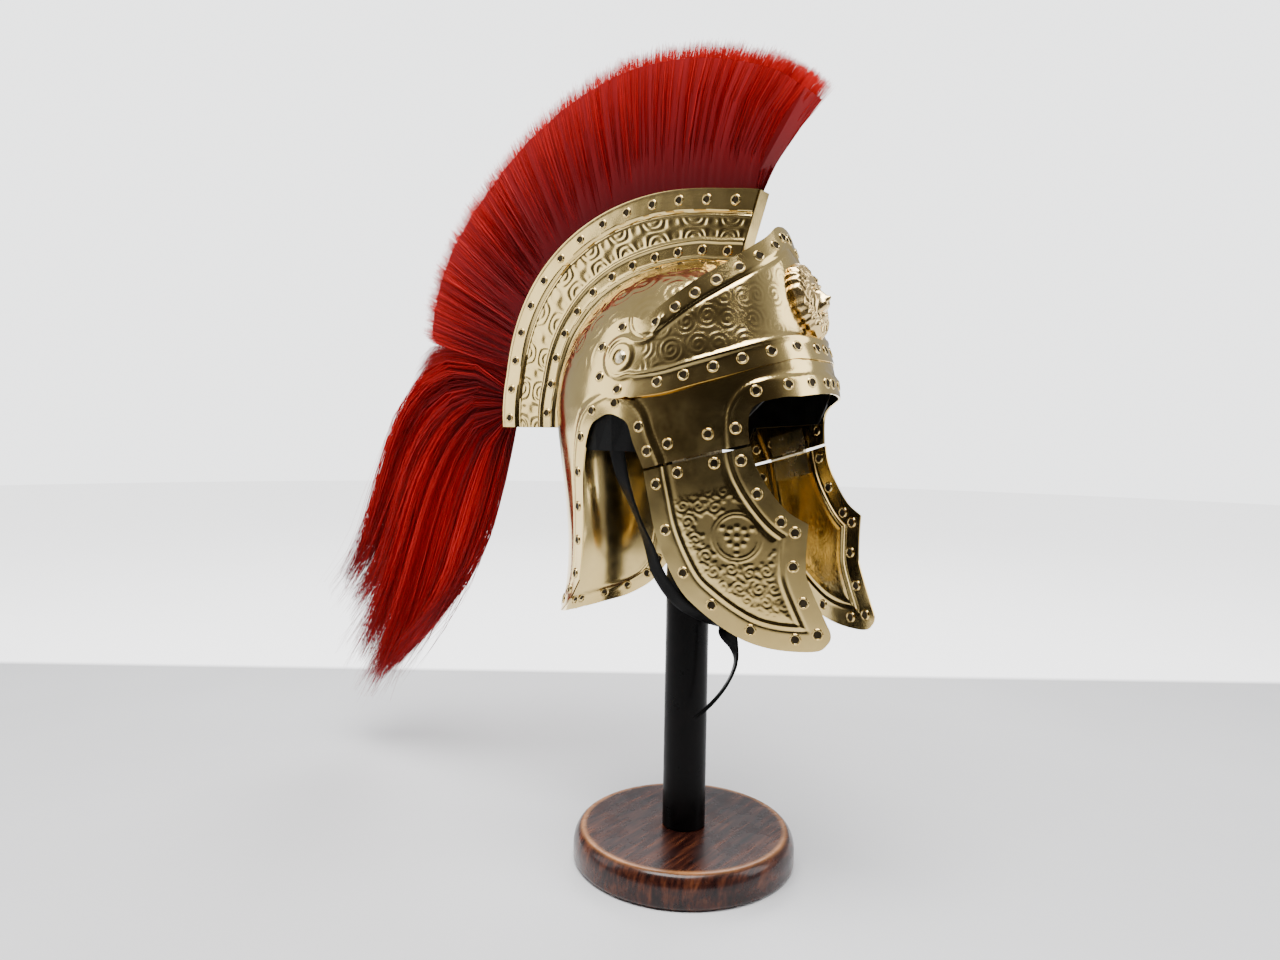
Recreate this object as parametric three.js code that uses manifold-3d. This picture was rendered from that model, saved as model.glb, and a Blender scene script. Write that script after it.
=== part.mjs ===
// Roman centurion helmet on its stand.
// Millimetres, +Z up. The origin is the centre of the stand's underside, on the surface it stands on.
// The helmet faces -Y and is symmetric about X = 0; the wearer's right side is -X.
// "Forward" below is the distance towards the face, so forward = -Y.
import * as THREE from 'three';
import { mergeVertices } from 'three/addons/utils/BufferGeometryUtils.js';
import Module from 'manifold-3d';

const wasm = await Module();
wasm.setup();

// Stand
const BASE_RADIUS = 98.3;
const BASE_TOP_RADIUS = 89.8;
const BASE_HEIGHT = 28.7;
const BASE_FOOT_ROUND = 5;
const POST_RADIUS = 19;
const HEAD_RADIUS = 52;
const HEAD_DEPTH = 56;
const HEAD_CONE = 20;

// Skull
const SHEET = 1.2;
const RIM_HEIGHT = 400;
const DOME_HEIGHT = 127;
const SKULL_HALF_WIDTH = 90;
const SKULL_FRONT = 129;
const SKULL_BACK = 135;
const FRONT_FULLNESS = 0.16;
const NECK_DROP = 194;
const SPLIT_GAP = 2.2;

// Liner, brow plate and medallion
const LINER_THICKNESS = 2;
const LINER_TOP_RISE = 55;
const BROW_STAND_OFF = 0.4;
const BROW_PEAK_RISE = 146;
const BROW_PEAK_FORWARD = 83;
const BROW_BOSS_RADIUS = 33;
const SCREW_RADIUS = 2.3;
const SCREW_HEAD_RADIUS = 5.5;
const SCREW_HEAD_HEIGHT = 2.5;
const MEDALLION_HALF_WIDTH = 21;
const MEDALLION_HALF_HEIGHT = 32;
const MEDALLION_DEPTH = 17;

// Crest
const CREST_LENGTH = 226;
const CREST_HEIGHT = 187;
const CREST_FORWARD = 8;
const CREST_DROP = 3;
const CREST_BOTTOM_DROP = 18;
const CREST_FRONT_HALF_WIDTH = 7.5;
const CREST_REAR_HALF_WIDTH = 11;
const CREST_FRONT_ANGLE = 75;
const CREST_REAR_ANGLE = 184.6;
const CREST_SWELL = 0.079;
const CREST_SWELL_START = 82;
const CREST_SWELL_END = 169;
const HAIR_REAR_ANGLE = 167;
const TAIL_ROOT_ANGLE = 169.5;
const HAIR_BACKING = 12;
const HAIR_HALF_WIDTH = 21;
const HAIR_REACH = 126;
const TAIL_LENGTH = 330;
const TAIL_LOCK_WIDTH = 52;
const TAIL_HALF_THICKNESS = 20;
const TAIL_ROOT_RISE = 6;

// Cheek plates and hinges
const CHEEK_DROP = 184;
const CHEEK_TAPER = 0.415;
const CHEEK_TAPER_START = 0.543;
const HINGE_LENGTH = 40;
const LEAF_HEIGHT = 18;
const LEAF_THICKNESS = 1;
const KNUCKLE_RADIUS = 2;
const PIN_RADIUS = 1;
const KNUCKLE_SHARE = 0.44;

// Chin strap
const STRAP_WIDTH = 15;
const STRAP_THICKNESS = 1.8;

// Clearances
const GAP = 0.3;
const LOOSE = 0.6;
const FACET_ROOM = 0.4;

// How far a form runs past the edge that trims it
const RUN_OUT = 12;
const HOLLOW_RUN_OUT = 30;
const BROW_RUN_OUT = 4;

const CROWN = RIM_HEIGHT + DOME_HEIGHT;
const BRASS = { color: 0xd8bf7a, roughness: 0.22, metalness: 1 };
const GOLD = { color: 0xe6c67a, roughness: 0.28, metalness: 1 };
const STEEL = { color: 0xc9c2b0, roughness: 0.3, metalness: 1 };
const LEATHER = { color: 0x101010, roughness: 0.5, metalness: 0 };
const HAIR = { color: 0xb80f14, roughness: 0.75, metalness: 0 };
const WALNUT = { color: 0x4a2414, roughness: 0.3, metalness: 0 };
const BLACK_PAINT = { color: 0x0d0b0c, roughness: 0.35, metalness: 0 };

const helmet = new THREE.Group();

// Geometry helpers

function clamp(value, low, high) {
  return Math.min(Math.max(value, low), high);
}

function smooth(value) {
  const t = clamp(value, 0, 1);
  return t * t * (3 - 2 * t);
}

function lerp(a, b, t) {
  return a + (b - a) * t;
}

// Straight-line reading of a table: rows are [key, value] with rising keys.
function read(table, key) {
  const last = table.length - 1;
  if (key <= table[0][0]) return table[0][1];
  if (key >= table[last][0]) return table[last][1];
  const i = table.findIndex((row) => row[0] >= key);
  const [k0, v0] = table[i - 1];
  const [k1, v1] = table[i];
  return lerp(v0, v1, (key - k0) / (k1 - k0));
}

// World point from side (+X is the wearer's left), forward and height.
function at(side, forward, height) {
  return new THREE.Vector3(side, -forward, height);
}

function signedVolume(positions, index) {
  const a = new THREE.Vector3();
  const b = new THREE.Vector3();
  const c = new THREE.Vector3();
  let total = 0;
  for (let i = 0; i < index.length; i += 3) {
    a.fromArray(positions, 3 * index[i]);
    b.fromArray(positions, 3 * index[i + 1]);
    c.fromArray(positions, 3 * index[i + 2]);
    total += a.dot(b.cross(c)) / 6;
  }
  return total;
}

// Closed body through rings of equally many points, with a fan on each end.
function loft(rings) {
  const count = rings[0].length;
  const positions = [];
  const index = [];
  rings.forEach((ring) => ring.forEach((p) => positions.push(p.x, p.y, p.z)));
  for (let r = 0; r + 1 < rings.length; r++) {
    for (let i = 0; i < count; i++) {
      const j = (i + 1) % count;
      const a = r * count + i;
      const b = r * count + j;
      index.push(a, b, b + count, a, b + count, a + count);
    }
  }
  [0, rings.length - 1].forEach((r) => {
    const centre = new THREE.Vector3();
    rings[r].forEach((p) => centre.addScaledVector(p, 1 / count));
    const hub = positions.length / 3;
    positions.push(centre.x, centre.y, centre.z);
    for (let i = 0; i < count; i++) {
      const a = r * count + i;
      const b = r * count + ((i + 1) % count);
      if (r === 0) index.push(hub, b, a);
      else index.push(hub, a, b);
    }
  });
  if (signedVolume(positions, index) < 0) index.reverse();
  const geometry = new THREE.BufferGeometry();
  geometry.setAttribute('position', new THREE.Float32BufferAttribute(positions, 3));
  geometry.setIndex(index);
  return geometry;
}

function solid(geometry) {
  const bare = geometry.clone();
  bare.deleteAttribute('normal');
  bare.deleteAttribute('uv');
  const merged = mergeVertices(bare, 1e-4);
  return new wasm.Manifold(new wasm.Mesh({
    numProp: 3,
    vertProperties: new Float32Array(merged.attributes.position.array),
    triVerts: new Uint32Array(merged.index.array),
  }));
}

function geometryOf(body) {
  const mesh = body.getMesh();
  const geometry = new THREE.BufferGeometry();
  geometry.setAttribute('position', new THREE.Float32BufferAttribute(mesh.vertProperties, 3));
  geometry.setIndex(new THREE.BufferAttribute(new Uint32Array(mesh.triVerts), 1));
  return geometry;
}

function add(name, geometry, look, parent = helmet) {
  const flat = geometry.index ? geometry.toNonIndexed() : geometry;
  flat.computeVertexNormals();
  const mesh = new THREE.Mesh(flat, new THREE.MeshStandardMaterial(look));
  mesh.name = name;
  parent.add(mesh);
  return mesh;
}

// Prism across the helmet whose outline is drawn in side view, from side "from" to side "to".
function sidePrism(shape, from, to, curveSegments = 5) {
  const geometry = new THREE.ExtrudeGeometry(shape, {
    depth: to - from, bevelEnabled: false, steps: 1, curveSegments,
  });
  const turn = new THREE.Matrix4().makeBasis(
    new THREE.Vector3(0, -1, 0), new THREE.Vector3(0, 0, 1), new THREE.Vector3(-1, 0, 0),
  );
  geometry.applyMatrix4(turn);
  geometry.translate(to, 0, 0);
  return solid(geometry);
}

function polygon(points) {
  return new THREE.Shape(points.map(([x, y]) => new THREE.Vector2(x, y)));
}

// Form of the skull and neck guard

// How much the plan narrows below the rim, at the back: [share of the neck's drop, scale].
const NECK_FLARE = [
  [0, 1], [0.08, 0.99], [0.26, 0.954], [0.45, 0.916], [0.65, 0.896], [0.86, 0.916], [1, 0.955],
];
const NECK_BLEND = 0.37;

function domeScale(height) {
  const rise = (height - RIM_HEIGHT) / DOME_HEIGHT;
  return rise > 0 ? Math.sqrt(Math.max(0, 1 - rise * rise)) : 1;
}

// Point of the skull's surface at an angle from the front, grown outwards by "grow".
function skullPoint(angle, height, grow, side = 1) {
  const cos = Math.cos(angle);
  const sin = Math.sin(angle);
  const rise = (height - RIM_HEIGHT) / (DOME_HEIGHT + grow);
  let scale = rise > 0 ? Math.sqrt(Math.max(0, 1 - rise * rise)) : 1;
  if (rise < 0) {
    const flare = read(NECK_FLARE, (RIM_HEIGHT - height) / NECK_DROP);
    scale = 1 + (flare - 1) * smooth(-cos / NECK_BLEND);
  }
  const length = (cos > 0 ? SKULL_FRONT : SKULL_BACK) + grow;
  const full = cos > 0 ? 1 + FRONT_FULLNESS * cos * cos : 1;
  return at(side * (SKULL_HALF_WIDTH + grow) * scale * sin * full, length * scale * cos, height);
}

// Half-width of the plan at a forward distance, for a ring of the given scale.
function ringWidth(forward, scale, grow = 0) {
  const length = ((forward > 0 ? SKULL_FRONT : SKULL_BACK) + grow) * scale;
  const share = forward / length;
  const full = forward > 0 ? 1 + FRONT_FULLNESS * share * share : 1;
  return (SKULL_HALF_WIDTH + grow) * scale * Math.sqrt(Math.max(0, 1 - share * share)) * full;
}

const SKULL_COLUMNS = 40;
const DOME_ROWS = 8;
const NECK_ROWS = 5;

function skullForm(grow, below, columns = SKULL_COLUMNS) {
  const heights = [];
  for (let i = 0; i <= NECK_ROWS; i++) {
    heights.push(RIM_HEIGHT - (NECK_DROP + below) * (1 - i / NECK_ROWS));
  }
  for (let i = 1; i < DOME_ROWS; i++) {
    heights.push(RIM_HEIGHT + (DOME_HEIGHT + grow) * Math.sin((Math.PI / 2) * (i / DOME_ROWS)));
  }
  const pole = RIM_HEIGHT + (DOME_HEIGHT + grow) * 0.9995;
  heights.push(pole);
  return solid(loft(heights.map((height) => {
    const ring = [];
    for (let i = 0; i < columns; i++) {
      ring.push(skullPoint((2 * Math.PI * i) / columns, height, grow));
    }
    return ring;
  })));
}

// Side-view point from shares: along is of the skull's front or back length, drop of the neck's drop.
function skullSide([along, drop]) {
  const length = along > 0 ? SKULL_FRONT : SKULL_BACK;
  return new THREE.Vector2(along * length, RIM_HEIGHT - drop * NECK_DROP);
}

// The line where each cheek plate meets the skull, rear end then front end: [along, drop].
const SPLIT_REAR = [0.109, 0.263];
const SPLIT_FRONT = [0.736, 0.155];
// Eye opening, from the split's front end up and round to the middle of the brow: [along, drop].
const EYE_EDGE = [
  [0.729, 0.077], [0.736, 0.026], [0.767, -0.005], [0.814, -0.021], [0.884, -0.036], [0.938, -0.041],
  [1.02, -0.062],
];
// Ear arch from the split's rear end over the top and down the neck guard's front edge: [along, drop].
const EAR_EDGE = [
  [0.031, 0.155], [-0.015, 0.077], [-0.089, 0.046], [-0.163, 0.036], [-0.244, 0.052], [-0.333, 0.093],
  [-0.407, 0.211], [-0.437, 0.325], [-0.459, 0.5], [-0.489, 0.686], [-0.508, 0.775],
];
// Neck guard's lower edge, from its front corner to the back: [along, drop].
const NECK_EDGE = [[-0.563, 0.825], [-0.63, 0.881], [-0.763, 0.943], [-0.874, 0.974], [-0.97, 1]];

const splitRear = skullSide(SPLIT_REAR);
const splitFront = skullSide(SPLIT_FRONT);
const splitSlope = (splitFront.y - splitRear.y) / (splitFront.x - splitRear.x);

function splitHeight(forward) {
  return splitRear.y + splitSlope * (forward - splitRear.x);
}

function skullOutline() {
  const shape = new THREE.Shape();
  const reach = 1.5 * SKULL_BACK;
  const lift = SPLIT_GAP / 2;
  const back = skullSide(NECK_EDGE[NECK_EDGE.length - 1]);
  shape.moveTo(-reach, CROWN + reach);
  shape.lineTo(-reach, back.y);
  [...NECK_EDGE].reverse().map(skullSide).forEach((p) => shape.lineTo(p.x, p.y));
  shape.splineThru([...EAR_EDGE].reverse().map(skullSide));
  shape.lineTo(splitRear.x, splitRear.y + lift);
  shape.lineTo(splitFront.x, splitFront.y + lift);
  shape.splineThru(EYE_EDGE.map(skullSide));
  const brow = skullSide(EYE_EDGE[EYE_EDGE.length - 1]);
  shape.lineTo(reach, brow.y);
  shape.lineTo(reach, CROWN + reach);
  return shape;
}

// Forward position of the boss on each side, and its height: the brow plate turns round it.
const BOSS_FORWARD = -0.089 * SKULL_BACK;
const BOSS_RISE = 0.3 * DOME_HEIGHT;
const bossHeight = RIM_HEIGHT + BOSS_RISE;

function outwardNormal(width, forward, height, step = 0.5) {
  const slopeForward = (width(forward + step, height) - width(forward - step, height)) / (2 * step);
  const slopeUp = (width(forward, height + step) - width(forward, height - step)) / (2 * step);
  return new THREE.Vector3(1, slopeForward, -slopeUp).normalize();
}

function skullWidth(forward, height, grow = 0) {
  return ringWidth(forward, domeScale(height), grow);
}

// Screw through the boss, with its head outside the brow plate; side is -1 or 1.
function screwBody(radius, headRadius, from, to, side, sides = 12) {
  const width = skullWidth(BOSS_FORWARD, bossHeight);
  const normal = outwardNormal(skullWidth, BOSS_FORWARD, bossHeight);
  normal.x *= side;
  const centre = at(side * width, BOSS_FORWARD, bossHeight);
  const turn = new THREE.Quaternion().setFromUnitVectors(new THREE.Vector3(0, 1, 0), normal);
  const shank = new THREE.CylinderGeometry(radius, radius, to - from, sides);
  shank.translate(0, (from + to) / 2, 0);
  let body = solid(shank.applyQuaternion(turn).translate(centre.x, centre.y, centre.z));
  if (headRadius > 0) {
    const profile = [
      [0, to - LOOSE], [headRadius, to - LOOSE], [headRadius, to - LOOSE + SCREW_HEAD_HEIGHT / 3],
      [headRadius * 0.6, to - LOOSE + SCREW_HEAD_HEIGHT * 0.85], [0, to - LOOSE + SCREW_HEAD_HEIGHT],
    ].map(([x, y]) => new THREE.Vector2(x, y));
    const head = new THREE.LatheGeometry(profile, sides);
    body = body.add(solid(head.applyQuaternion(turn).translate(centre.x, centre.y, centre.z)));
  }
  return body;
}

const browInner = BROW_STAND_OFF;
const browOuter = BROW_STAND_OFF + SHEET;
const screwReach = browOuter + LOOSE + GAP;

const skullOuterForm = skullForm(0, RUN_OUT);
const skullInnerForm = skullForm(-SHEET, HOLLOW_RUN_OUT);

function makeSkull() {
  const across = 2 * SKULL_HALF_WIDTH;
  let body = skullOuterForm.subtract(skullInnerForm);
  body = body.intersect(sidePrism(skullOutline(), -across, across));
  [-1, 1].forEach((side) => {
    body = body.subtract(screwBody(SCREW_RADIUS + GAP, 0, -3 * SHEET, 3 * SHEET, side));
  });
  add('skull', geometryOf(body), BRASS);
}

// Black leather liner

// Lower edge of the liner, back to front: [along, drop].
const LINER_EDGE = [[-1.2, 0.19], [0.05, 0.19], [0.12, 0.08], [0.7, 0.06], [0.86, -0.085], [1.2, -0.085]];

function makeLiner() {
  const outer = -SHEET - GAP;
  const across = 2 * SKULL_HALF_WIDTH;
  const top = RIM_HEIGHT + LINER_TOP_RISE;
  const edge = LINER_EDGE.map(skullSide).map((p) => [p.x, p.y]);
  const outline = polygon([...edge, [edge[edge.length - 1][0], top], [edge[0][0], top]]);
  let body = skullForm(outer, RUN_OUT).subtract(skullForm(outer - LINER_THICKNESS, HOLLOW_RUN_OUT));
  body = body.intersect(sidePrism(outline, -across, across));
  add('liner', geometryOf(body), LEATHER);
}

// Brow plate

// Upper edge from the peak down to the boss: shares of the peak's forward reach and rise.
const BROW_TOP_EDGE = [[0.975, 0.897], [0.795, 0.774], [0.422, 0.623], [0.11, 0.486]];
// Lower edge from the boss to the front: shares of the skull's front length and of the dome's height.
const BROW_LOWER_EDGE = [[0.016, 0.045], [0.24, 0.07], [0.426, 0.118], [0.636, 0.18], [0.837, 0.256],
  [0.93, 0.295], [1.1, 0.275]];

const browPeakScale = BROW_PEAK_FORWARD / (SKULL_FRONT + browOuter);
// Growth of the cone's ring from the peak's height down to the rim.
const BROW_CONE_GROWTH = 0.4234;
const browLean = BROW_CONE_GROWTH / BROW_PEAK_RISE;

// The plate follows the dome at its lower part and a cone above it.
function browScale(height) {
  const cone = browPeakScale + browLean * (RIM_HEIGHT + BROW_PEAK_RISE - height);
  return Math.max(domeScale(height), cone);
}

function browForm(grow) {
  const low = RIM_HEIGHT - BROW_RUN_OUT;
  const high = RIM_HEIGHT + BROW_PEAK_RISE + BROW_RUN_OUT;
  const rows = 9;
  const rings = [];
  for (let i = 0; i <= rows; i++) {
    const height = lerp(low, high, i / rows);
    const scale = browScale(height);
    const ring = [];
    for (let c = 0; c < SKULL_COLUMNS; c++) {
      const angle = (2 * Math.PI * c) / SKULL_COLUMNS;
      const cos = Math.cos(angle);
      const length = (cos > 0 ? SKULL_FRONT : SKULL_BACK) + grow;
      const full = cos > 0 ? 1 + FRONT_FULLNESS * cos * cos : 1;
      const side = (SKULL_HALF_WIDTH + grow) * scale * Math.sin(angle) * full;
      ring.push(at(side, length * scale * cos, height));
    }
    rings.push(ring);
  }
  return solid(loft(rings));
}

function browOutline() {
  const shape = new THREE.Shape();
  const peak = new THREE.Vector2(BROW_PEAK_FORWARD, RIM_HEIGHT + BROW_PEAK_RISE);
  const top = BROW_TOP_EDGE.map(([x, y]) => new THREE.Vector2(
    x * BROW_PEAK_FORWARD, RIM_HEIGHT + y * BROW_PEAK_RISE,
  ));
  const lower = BROW_LOWER_EDGE.map(([x, y]) => new THREE.Vector2(
    x * SKULL_FRONT, RIM_HEIGHT + y * DOME_HEIGHT,
  ));
  const start = Math.atan2(top[3].y - bossHeight, top[3].x - BOSS_FORWARD);
  const end = Math.atan2(lower[0].y - bossHeight, lower[0].x - BOSS_FORWARD) + 2 * Math.PI;
  shape.moveTo(peak.x * 1.6, peak.y);
  shape.lineTo(peak.x, peak.y);
  shape.splineThru(top);
  for (let i = 1; i < 14; i++) {
    const angle = lerp(start, end, i / 14);
    shape.lineTo(BOSS_FORWARD + BROW_BOSS_RADIUS * Math.cos(angle), bossHeight
      + BROW_BOSS_RADIUS * Math.sin(angle));
  }
  shape.lineTo(lower[0].x, lower[0].y);
  shape.splineThru(lower.slice(1));
  shape.lineTo(peak.x * 1.8, lower[lower.length - 1].y);
  return shape;
}

function makeBrow() {
  const across = 2 * SKULL_HALF_WIDTH;
  let body = browForm(browOuter).subtract(browForm(browInner));
  body = body.intersect(sidePrism(browOutline(), -across, across, 5));
  body = body.subtract(skullForm(GAP, RUN_OUT));
  [-1, 1].forEach((side) => {
    body = body.subtract(screwBody(SCREW_RADIUS + GAP, 0, -3 * SHEET, 6 * SHEET, side));
  });
  add('brow_plate', geometryOf(body), BRASS);
}

function makeScrews() {
  [['right', -1], ['left', 1]].forEach(([name, side]) => {
    const body = screwBody(SCREW_RADIUS, SCREW_HEAD_RADIUS, -SHEET, screwReach, side);
    add(`brow_screw_${name}`, geometryOf(body), STEEL);
  });
}

// Lion-head medallion: a lobed mane, a face on it and a muzzle.
const MEDALLION_RISE = 0.58;
const MEDALLION_TILT = Math.atan(browLean * (SKULL_FRONT + browOuter));
// Half sections of the medallion from its rim to its middle: [share of depth, share of radius].
const MEDALLION_SECTIONS = [[-0.35, 1], [0.35, 1], [0.62, 0.86], [0.8, 0.55], [0.88, 0.02]];
const MANE_LOBES = 12;
const MANE_LOBE_DEPTH = 0.07;

function makeMedallion() {
  const height = RIM_HEIGHT + MEDALLION_RISE * BROW_PEAK_RISE;
  const forward = (SKULL_FRONT + browOuter) * browScale(height);
  const steps = 2 * MANE_LOBES;
  const rings = MEDALLION_SECTIONS.map(([depth, radius]) => {
    const ring = [];
    for (let i = 0; i < steps; i++) {
      const angle = (2 * Math.PI * i) / steps;
      const lobe = radius * (1 + MANE_LOBE_DEPTH * (i % 2 ? -1 : 1));
      ring.push(new THREE.Vector3(
        MEDALLION_HALF_WIDTH * lobe * Math.cos(angle), -depth * MEDALLION_DEPTH,
        MEDALLION_HALF_HEIGHT * lobe * Math.sin(angle),
      ));
    }
    return ring;
  });
  const muzzle = new THREE.SphereGeometry(1, 12, 8);
  muzzle.scale(0.42 * MEDALLION_HALF_WIDTH, 0.4 * MEDALLION_DEPTH, 0.26 * MEDALLION_HALF_HEIGHT);
  muzzle.translate(0, -0.62 * MEDALLION_DEPTH, -0.2 * MEDALLION_HALF_HEIGHT);
  const placed = [loft(rings), muzzle].map((geometry) => {
    geometry.rotateX(-MEDALLION_TILT);
    return solid(geometry.translate(0, -forward, height));
  });
  const body = placed[0].add(placed[1]).subtract(browForm(browOuter + GAP));
  add('brow_medallion', geometryOf(body), GOLD);
}

// Crest box

// Side-view point of the crest: an ellipse that swells towards the back of the crown.
function crestPoint(degrees, scale = 1) {
  const angle = THREE.MathUtils.degToRad(degrees);
  const share = clamp((degrees - CREST_SWELL_START) / (CREST_SWELL_END - CREST_SWELL_START), 0, 1);
  const reach = scale * (1 + CREST_SWELL * Math.sin(Math.PI * share) ** 1.3);
  return new THREE.Vector2(
    CREST_FORWARD + CREST_LENGTH * reach * Math.cos(angle),
    crestLevel + CREST_HEIGHT * reach * Math.sin(angle),
  );
}

function crestHalfWidth(degrees) {
  const share = (degrees - CREST_FRONT_ANGLE) / (CREST_REAR_ANGLE - CREST_FRONT_ANGLE);
  return lerp(CREST_FRONT_HALF_WIDTH, CREST_REAR_HALF_WIDTH, share);
}

const CREST_INNER_SCALE = 0.45;
const crestLevel = RIM_HEIGHT - CREST_DROP;
const crestBottom = RIM_HEIGHT - CREST_BOTTOM_DROP;

function makeCrestPlates() {
  const steps = 22;
  const seat = skullForm(GAP, RUN_OUT);
  [['right', -1], ['left', 1]].forEach(([name, side]) => {
    const rings = [];
    for (let i = 0; i <= steps; i++) {
      const degrees = lerp(CREST_FRONT_ANGLE, CREST_REAR_ANGLE, i / steps);
      const half = crestHalfWidth(degrees);
      const outer = crestPoint(degrees);
      const inner = crestPoint(degrees, CREST_INNER_SCALE);
      if (i === steps) {
        outer.y = crestBottom;
        inner.y = crestBottom;
      }
      rings.push([
        at(side * half, outer.x, outer.y), at(side * (half - SHEET), outer.x, outer.y),
        at(side * (half - SHEET), inner.x, inner.y), at(side * half, inner.x, inner.y),
      ]);
    }
    add(`crest_plate_${name}`, geometryOf(solid(loft(rings)).subtract(seat)), BRASS);
  });
}

// Strip that closes the box at the front.
function makeCrestCap() {
  const half = CREST_FRONT_HALF_WIDTH;
  const outer = crestPoint(CREST_FRONT_ANGLE);
  const inner = crestPoint(CREST_FRONT_ANGLE, CREST_INNER_SCALE);
  const along = new THREE.Vector2().subVectors(outer, inner).normalize();
  const ahead = new THREE.Vector2(along.y, -along.x);
  const rings = [inner, outer].map((p) => {
    const near = p.clone().addScaledVector(ahead, GAP);
    const far = p.clone().addScaledVector(ahead, GAP + SHEET);
    return [at(-half, near.x, near.y), at(half, near.x, near.y), at(half, far.x, far.y), at(-half, far.x, far.y)];
  });
  add('crest_front_cap', geometryOf(solid(loft(rings)).subtract(skullForm(GAP, RUN_OUT))), BRASS);
}

// Crest hair: upright locks on a backing that sits between the crest plates.

// Tips of the hair from the front to the back: shares of the crest's length and of the hair's reach
// above the crest's highest point (forward share, height share).
const HAIR_TIPS = [
  [0.522, 0.563], [0.394, 0.738], [0.146, 0.913], [-0.071, 0.984], [-0.31, 0.988], [-0.556, 0.883],
  [-0.799, 0.689], [-1.029, 0.403], [-1.239, 0.06], [-1.395, -0.351], [-1.456, -0.77], [-1.42, -0.889],
];
// Half-width of the hair from its root to its tip: [share of length, share of the hair's half-width].
const HAIR_SECTION = [[0.06, 0.5], [0.3, 0.72], [0.62, 0.93], [0.88, 1], [0.98, 0.72]];
const LOCKS = 18;
const LOCK_RELIEF = 0.08;
const LOCK_TIP_STEP = 0.018;
// The front locks bow back by this share of the hair's reach.
const HAIR_FRONT_BOW = 0.08;
const HAIR_BOW_END = 0.3;

function makeHair() {
  const top = crestLevel + CREST_HEIGHT;
  const tips = new THREE.CatmullRomCurve3(HAIR_TIPS.map(([x, z]) => new THREE.Vector3(
    x * CREST_LENGTH, 0, top + z * HAIR_REACH,
  )), false, 'centripetal');
  const steps = 2 * LOCKS;
  const rings = [];
  for (let i = 0; i <= steps; i++) {
    const share = i / steps;
    const degrees = lerp(CREST_FRONT_ANGLE + 1, HAIR_REAR_ANGLE, share);
    const inside = crestHalfWidth(degrees) - SHEET - GAP;
    const root = crestPoint(degrees);
    const base = crestPoint(degrees, 1 - HAIR_BACKING / CREST_HEIGHT);
    const tipPoint = tips.getPointAt(share);
    const tip = new THREE.Vector2(tipPoint.x, tipPoint.z);
    const ridge = i % 2 ? 1 : -1;
    const spread = HAIR_HALF_WIDTH * (1 + LOCK_RELIEF * ridge) * lerp(0.86, 1, share);
    const reach = 1 + LOCK_TIP_STEP * ridge;
    const side = [[inside, base], [inside, root]];
    const bow = HAIR_FRONT_BOW * HAIR_REACH * smooth(1 - share / HAIR_BOW_END);
    HAIR_SECTION.forEach(([along, wide]) => {
      const point = new THREE.Vector2().lerpVectors(root, tip, along * reach);
      point.x -= bow * Math.sin(Math.PI * along);
      side.push([spread * wide, point]);
    });
    const crown = new THREE.Vector2().lerpVectors(root, tip, reach);
    rings.push([
      ...side.map(([x, p]) => at(-x, p.x, p.y)), at(0, crown.x, crown.y),
      ...side.reverse().map(([x, p]) => at(x, p.x, p.y)),
    ]);
  }
  add('crest_hair', geometryOf(solid(loft(rings))), HAIR);
}

// Loose tail: long locks fused to a block between the crest plates.

// Middle line of each lock, root to tip: shares of the tail's length back from and below the root.
// "side" is the sway at the tip as a share of the tail's half-thickness, "wide" a share of the lock width.
const TAIL_LOCKS = [
  { side: -0.3, wide: 1, path: [[0, 0], [0.21, -0.1], [0.44, 0], [0.6, 0.28], [0.715, 0.53], [0.86, 0.71]] },
  { side: 0.4, wide: 0.9, path: [[0, 0.02], [0.2, 0], [0.39, 0.13], [0.53, 0.39], [0.66, 0.61], [0.81, 0.76]] },
  { side: -0.5, wide: 1, path: [[0, 0.04], [0.18, 0.05], [0.34, 0.22], [0.46, 0.48], [0.58, 0.73], [0.72, 0.93]] },
  { side: 0.2, wide: 1, path: [[0, 0.06], [0.14, 0.09], [0.28, 0.28], [0.39, 0.53], [0.53, 0.8], [0.725, 1.07]] },
  { side: 0.5, wide: 1, path: [[0, 0.08], [0.1, 0.14], [0.21, 0.33], [0.31, 0.57], [0.44, 0.8], [0.63, 0.98]] },
  { side: -0.2, wide: 0.8, path: [[0, 0.1], [0.05, 0.16], [0.12, 0.33], [0.2, 0.52], [0.31, 0.68], [0.46, 0.82]] },
];
const TAIL_SHAPE = [[0, 0.3], [0.18, 0.9], [0.45, 1], [0.75, 0.72], [1, 0.1]];

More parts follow.
